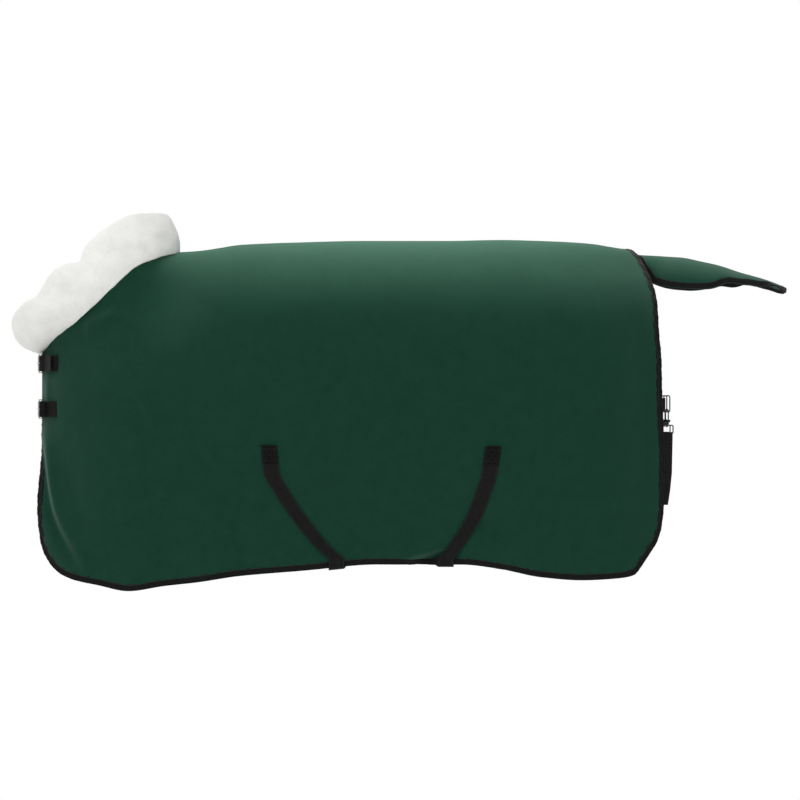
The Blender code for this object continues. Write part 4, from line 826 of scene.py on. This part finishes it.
def surcingle(name, line, side, goal, level):
    """Webbing by its left, middle and right lines: level cuts down the side, two rows
    round the hem, then square cuts across the belly, ending in a fold round the
    fastener's bar.  A monotone cubic runs through the rows."""
    pts = raised(line)
    at = smooth_line(pts[:, ::-1])
    top, foot = pts[0, 1], float(hem_height(pts[-1, 0])) + HEM_CLEAR
    zs = np.linspace(top, foot, 24)
    slope = (at(zs + 0.004) - at(zs - 0.004)) / 0.008
    spread = (WEBBING / 2 * np.sqrt(1 + slope ** 2))[:, None] * np.array([-1.0, 0.0, 1.0])
    rise = STRAP_LIFT + WEB_THICK / 2 + 0.0016 * ease((top - 0.03 - zs) / 0.05)
    rows = on_cloth(at(zs)[:, None] + spread, np.repeat(zs[:, None], 3, 1), side,
                    np.repeat(rise[:, None], 3, 1))
    last_x = rows[-1, :, 0]
    width = half_width(last_x, np.full(3, foot))
    hem = hem_height(last_x)
    under = [np.stack([last_x, side * (width + 0.0030), hem - 0.0030], -1),
             np.stack([last_x, side * (width - 0.0110), hem - 0.0062], -1)]
    start = belly_start(line, side)
    run = goal - start
    length = np.linalg.norm(run)
    run = run / length
    square = np.array([-run[1], run[0]])
    square = -square if (last_x[2] - last_x[0]) * square[0] < 0 else square
    turns = np.radians(np.arange(-90, 91, 15))
    steps = [(0.065, 0.0)] + [(d, 0.0) for d in np.linspace(0.085, length - 0.012, 6)
                              if length - 0.012 > 0.09]
    steps += [(length + FOLD_RADIUS * math.cos(t), FOLD_RADIUS + FOLD_RADIUS * math.sin(t))
              for t in turns]
    steps += [(length - 0.016, 2 * FOLD_RADIUS), (length - 0.030, 2 * FOLD_RADIUS)]
    belly = [np.column_stack([start + run * d + square * np.array([[-1], [0], [1]]) * WEBBING / 2,
                              np.full(3, level + up)]) for d, up in steps]
    rows = np.concatenate([rows, under, belly]).reshape(-1, 9)
    fine = path_curve(rows)(np.linspace(0, 1, 520)).reshape(-1, 3, 3)
    across = unit(fine[:, 2] - fine[:, 0])
    normal = unit(np.cross(np.gradient(fine[:, 1], axis=0), across))
    strap = swept(name.replace("surcingle", "belly_webbing"), fine[:, 1], across, normal,
                  WEBBING, WEB_THICK, webbing, power=7.0)
    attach(strap, "rug")
    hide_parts(name)


# Sewn square: the webbing's weave with a box and a cross of doubled black thread.
cross_sewn, tree, shader = material("box-stitched polypropylene webbing", Roughness=0.8,
                                    Sheen_Weight=0.04, Specular_IOR_Level=0.10)
uv = node(tree, "UVMap", {}, uv_map="cloth")
along, over = (node(tree, "SeparateXYZ", {0: uv}, k) for k in (0, 1))
p, q = (maths(tree, "ABSOLUTE", value) for value in (along, over))
lines = [near_line(tree, value, where, 0.0008) for value, where in
         ((p, SEWN_BOX / 2), (q, SEWN_BOX / 2), (maths(tree, "SUBTRACT", p, q), 0.0))]
sewn = maths(tree, "MAXIMUM", maths(tree, "MAXIMUM", lines[0], lines[1]), lines[2])
tone = ranged(tree, wave(tree, over, RIB), -1.0, 1.0)
cloth = tinted(tree, tone, "#040404", "#0b0b0b")
dress(tree, shader, tinted(tree, sewn, cloth, "#1b1c1c"), maths(tree, "SUBTRACT", tone, sewn),
      0.5, 0.0007)


def sewn_square(name, line, side):
    """Square of webbing over a surcingle's top end: a grid laid on the cloth, leaning with
    the strap, its outside lower by a quarter ellipse at its rim."""
    pts = raised(line)
    lean = (pts[1, 0] - pts[0, 0]) / (pts[1, 1] - pts[0, 1])
    a, b = np.meshgrid(np.linspace(-0.5, 0.5, 29), np.linspace(-0.5, 0.5, 25), indexing="ij")
    down = 0.014 + b * SQUARE_HIGH
    x = pts[0, 0] + a * SQUARE_WIDE - down * lean
    rim = np.minimum(quarter((0.5 - np.abs(a)) / 0.08), quarter((0.5 - np.abs(b)) / 0.08))
    lift = STRAP_LIFT + WEB_THICK + 0.0004
    outer = on_cloth(x, pts[0, 1] - down, side, lift + 0.0018 * rim)
    inner = on_cloth(x, pts[0, 1] - down, side, np.full_like(x, lift - 0.0016))
    verts, faces = two_sided(outer, inner)
    uv = np.stack([a * SQUARE_WIDE, b * SQUARE_HIGH], -1).reshape(-1, 2)
    square = mesh_piece(name.replace("surcingle_patch", "sewn_square"), verts, faces, cross_sewn,
                        np.concatenate([uv, uv]))
    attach(square, "rug")
    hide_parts(name)


LOWEST = TOP - 0.992
for near_end, off_end, near_line, off_line, level in (
        ("front", "rear", FRONT_LINE, REAR_LINE, LOWEST),
        ("rear", "front", REAR_LINE, FRONT_LINE, LOWEST - LEVELS_APART)):
    start, finish = belly_start(near_line, NEAR), belly_start(off_line, OFF)
    run = unit(finish - start)
    goal = start + run * NEAR_RUN
    surcingle(f"near_{near_end}_surcingle", near_line, NEAR, goal, level)
    surcingle(f"off_{off_end}_surcingle", off_line, OFF, goal + run * HOOK_REACH,
              level + SLIDE_ROD + 0.0006)
    sewn_square(f"near_{near_end}_surcingle_patch", near_line, NEAR)
    sewn_square(f"off_{near_end}_surcingle_patch", near_line, OFF)


# ======================================================================================
# Straps and metalwork that keep their engineered shape.
# Chest chapes, billets and their free ends, the leg straps and tabs are webbing with
# heat-cut edges; buckles, plates and T-hooks are nickel-plated steel, the leg rings and
# snaps are black-coated steel, and the slides are moulded nylon.
# ======================================================================================
BODY_OF = {piece: body for body, items in frame["record"]["behaviour"]["bodies"].items()
           for piece in items}


def worked(name, look, bevel=0.0, angle=40.0):
    """The piece's own shape with its facets merged, its soft edges smooth and its sharp
    ones rounded, riding where the piece rides."""
    mesh = frame["nodes"][name].data.copy()
    made = bpy.data.objects.new(f"{name}_finished", mesh)
    bpy.context.scene.collection.objects.link(made)
    work = bmesh.new()
    work.from_mesh(mesh)
    bmesh.ops.remove_doubles(work, verts=work.verts, dist=0.000005)
    bmesh.ops.dissolve_limit(work, angle_limit=math.radians(0.5), verts=work.verts,
                             edges=work.edges)
    work.to_mesh(mesh)
    work.free()
    mesh.materials.clear()
    mesh.materials.append(look)
    mesh.shade_smooth()
    mesh.set_sharp_from_angle(angle=math.radians(angle))
    if bevel:
        rounding = made.modifiers.new("edges", "BEVEL")
        rounding.width, rounding.segments = bevel, 2
        rounding.limit_method, rounding.angle_limit = "ANGLE", math.radians(50)
    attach(made, BODY_OF[name])
    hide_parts(name)


def object_weave(name, dark, pale, pitch):
    """Webbing whose ribs run level and upright: the product of two sines at the rib pitch
    over the height and over the run, with fine fibre noise."""
    look, tree, shader = material(name, Roughness=0.8, Sheen_Weight=0.04,
                                  Specular_IOR_Level=0.10)
    place = node(tree, "TexCoord", {}, "Object")
    x, y, z = (node(tree, "SeparateXYZ", {0: place}, k) for k in (0, 1, 2))
    weave = maths(tree, "MULTIPLY", wave(tree, maths(tree, "SUBTRACT", x, y), pitch),
                  wave(tree, z, pitch))
    level = maths(tree, "MULTIPLY", ranged(tree, weave, -1.0, 1.0, 0.2, 0.8),
                  noise(tree, place, 300.0, 3.0))
    dress(tree, shader, tinted(tree, level, dark, pale), level, 0.5, 0.0006)
    return look


strap_weave = object_weave("heat-cut polypropylene webbing", "#090909", "#252424", RIB)
seam_weave = object_weave("black cotton seam tape", "#121212", "#2c2c2c", 0.0022)

# Nickel plate over steel: bright and slightly warm, brushed by wear, duller in patches.
nickel, tree, shader = material("nickel-plated steel", Metallic=1.0)
wear = noise(tree, node(tree, "TexCoord", {}, "Object"), 160.0, 4.0)
tree.links.new(ranged(tree, wear, 0.3, 0.7, 0.20, 0.38), shader.inputs["Roughness"])
dress(tree, shader, tinted(tree, wear, "#b9b7b1", "#dad9d4"))


def grained(name, roughness, scale, dark, pale, strength, distance):
    """A smooth dark surface with one fine noise in its colour and its height."""
    look, tree, shader = material(name, Roughness=roughness)
    grain = noise(tree, node(tree, "TexCoord", {}, "Object"), scale, 2.0)
    dress(tree, shader, tinted(tree, grain, dark, pale), grain, strength, distance)
    return look


# Black coating baked on steel: satin, with a faint orange-peel surface.  Moulded nylon:
# dark, smooth, with a fine spark-eroded grain.
coated = grained("black-coated steel", 0.36, 500.0, "#141415", "#222324", 0.2, 0.0003)
nylon = grained("moulded black nylon", 0.48, 900.0, "#151515", "#1f1f1f", 0.25, 0.0002)

worked("spine_seam_tape", seam_weave, 0.0003)
for place in ("upper", "lower"):
    for part in ("chest_chape", "billet", "billet_tip"):
        worked(f"{place}_{part}", strap_weave, 0.0005)
    for part in ("buckle_frame", "buckle_roller", "buckle_tongue"):
        worked(f"{place}_{part}", nickel, angle=60.0)
for word in ("near", "off"):
    for part in ("leg_tab", "leg_strap"):
        worked(f"{word}_{part}", strap_weave, 0.0005)
    worked(f"{word}_leg_ring", coated, angle=60.0)
    for part in ("snap_eye", "snap_hook", "snap_gate"):
        worked(f"{word}_{part}", coated, angle=50.0)
for end in ("front", "rear"):
    worked(f"{end}_slotted_plate", nickel, angle=65.0)
    worked(f"{end}_t_hook", nickel, angle=65.0)
    worked(f"{end}_slide_keeper", nylon, 0.0005)
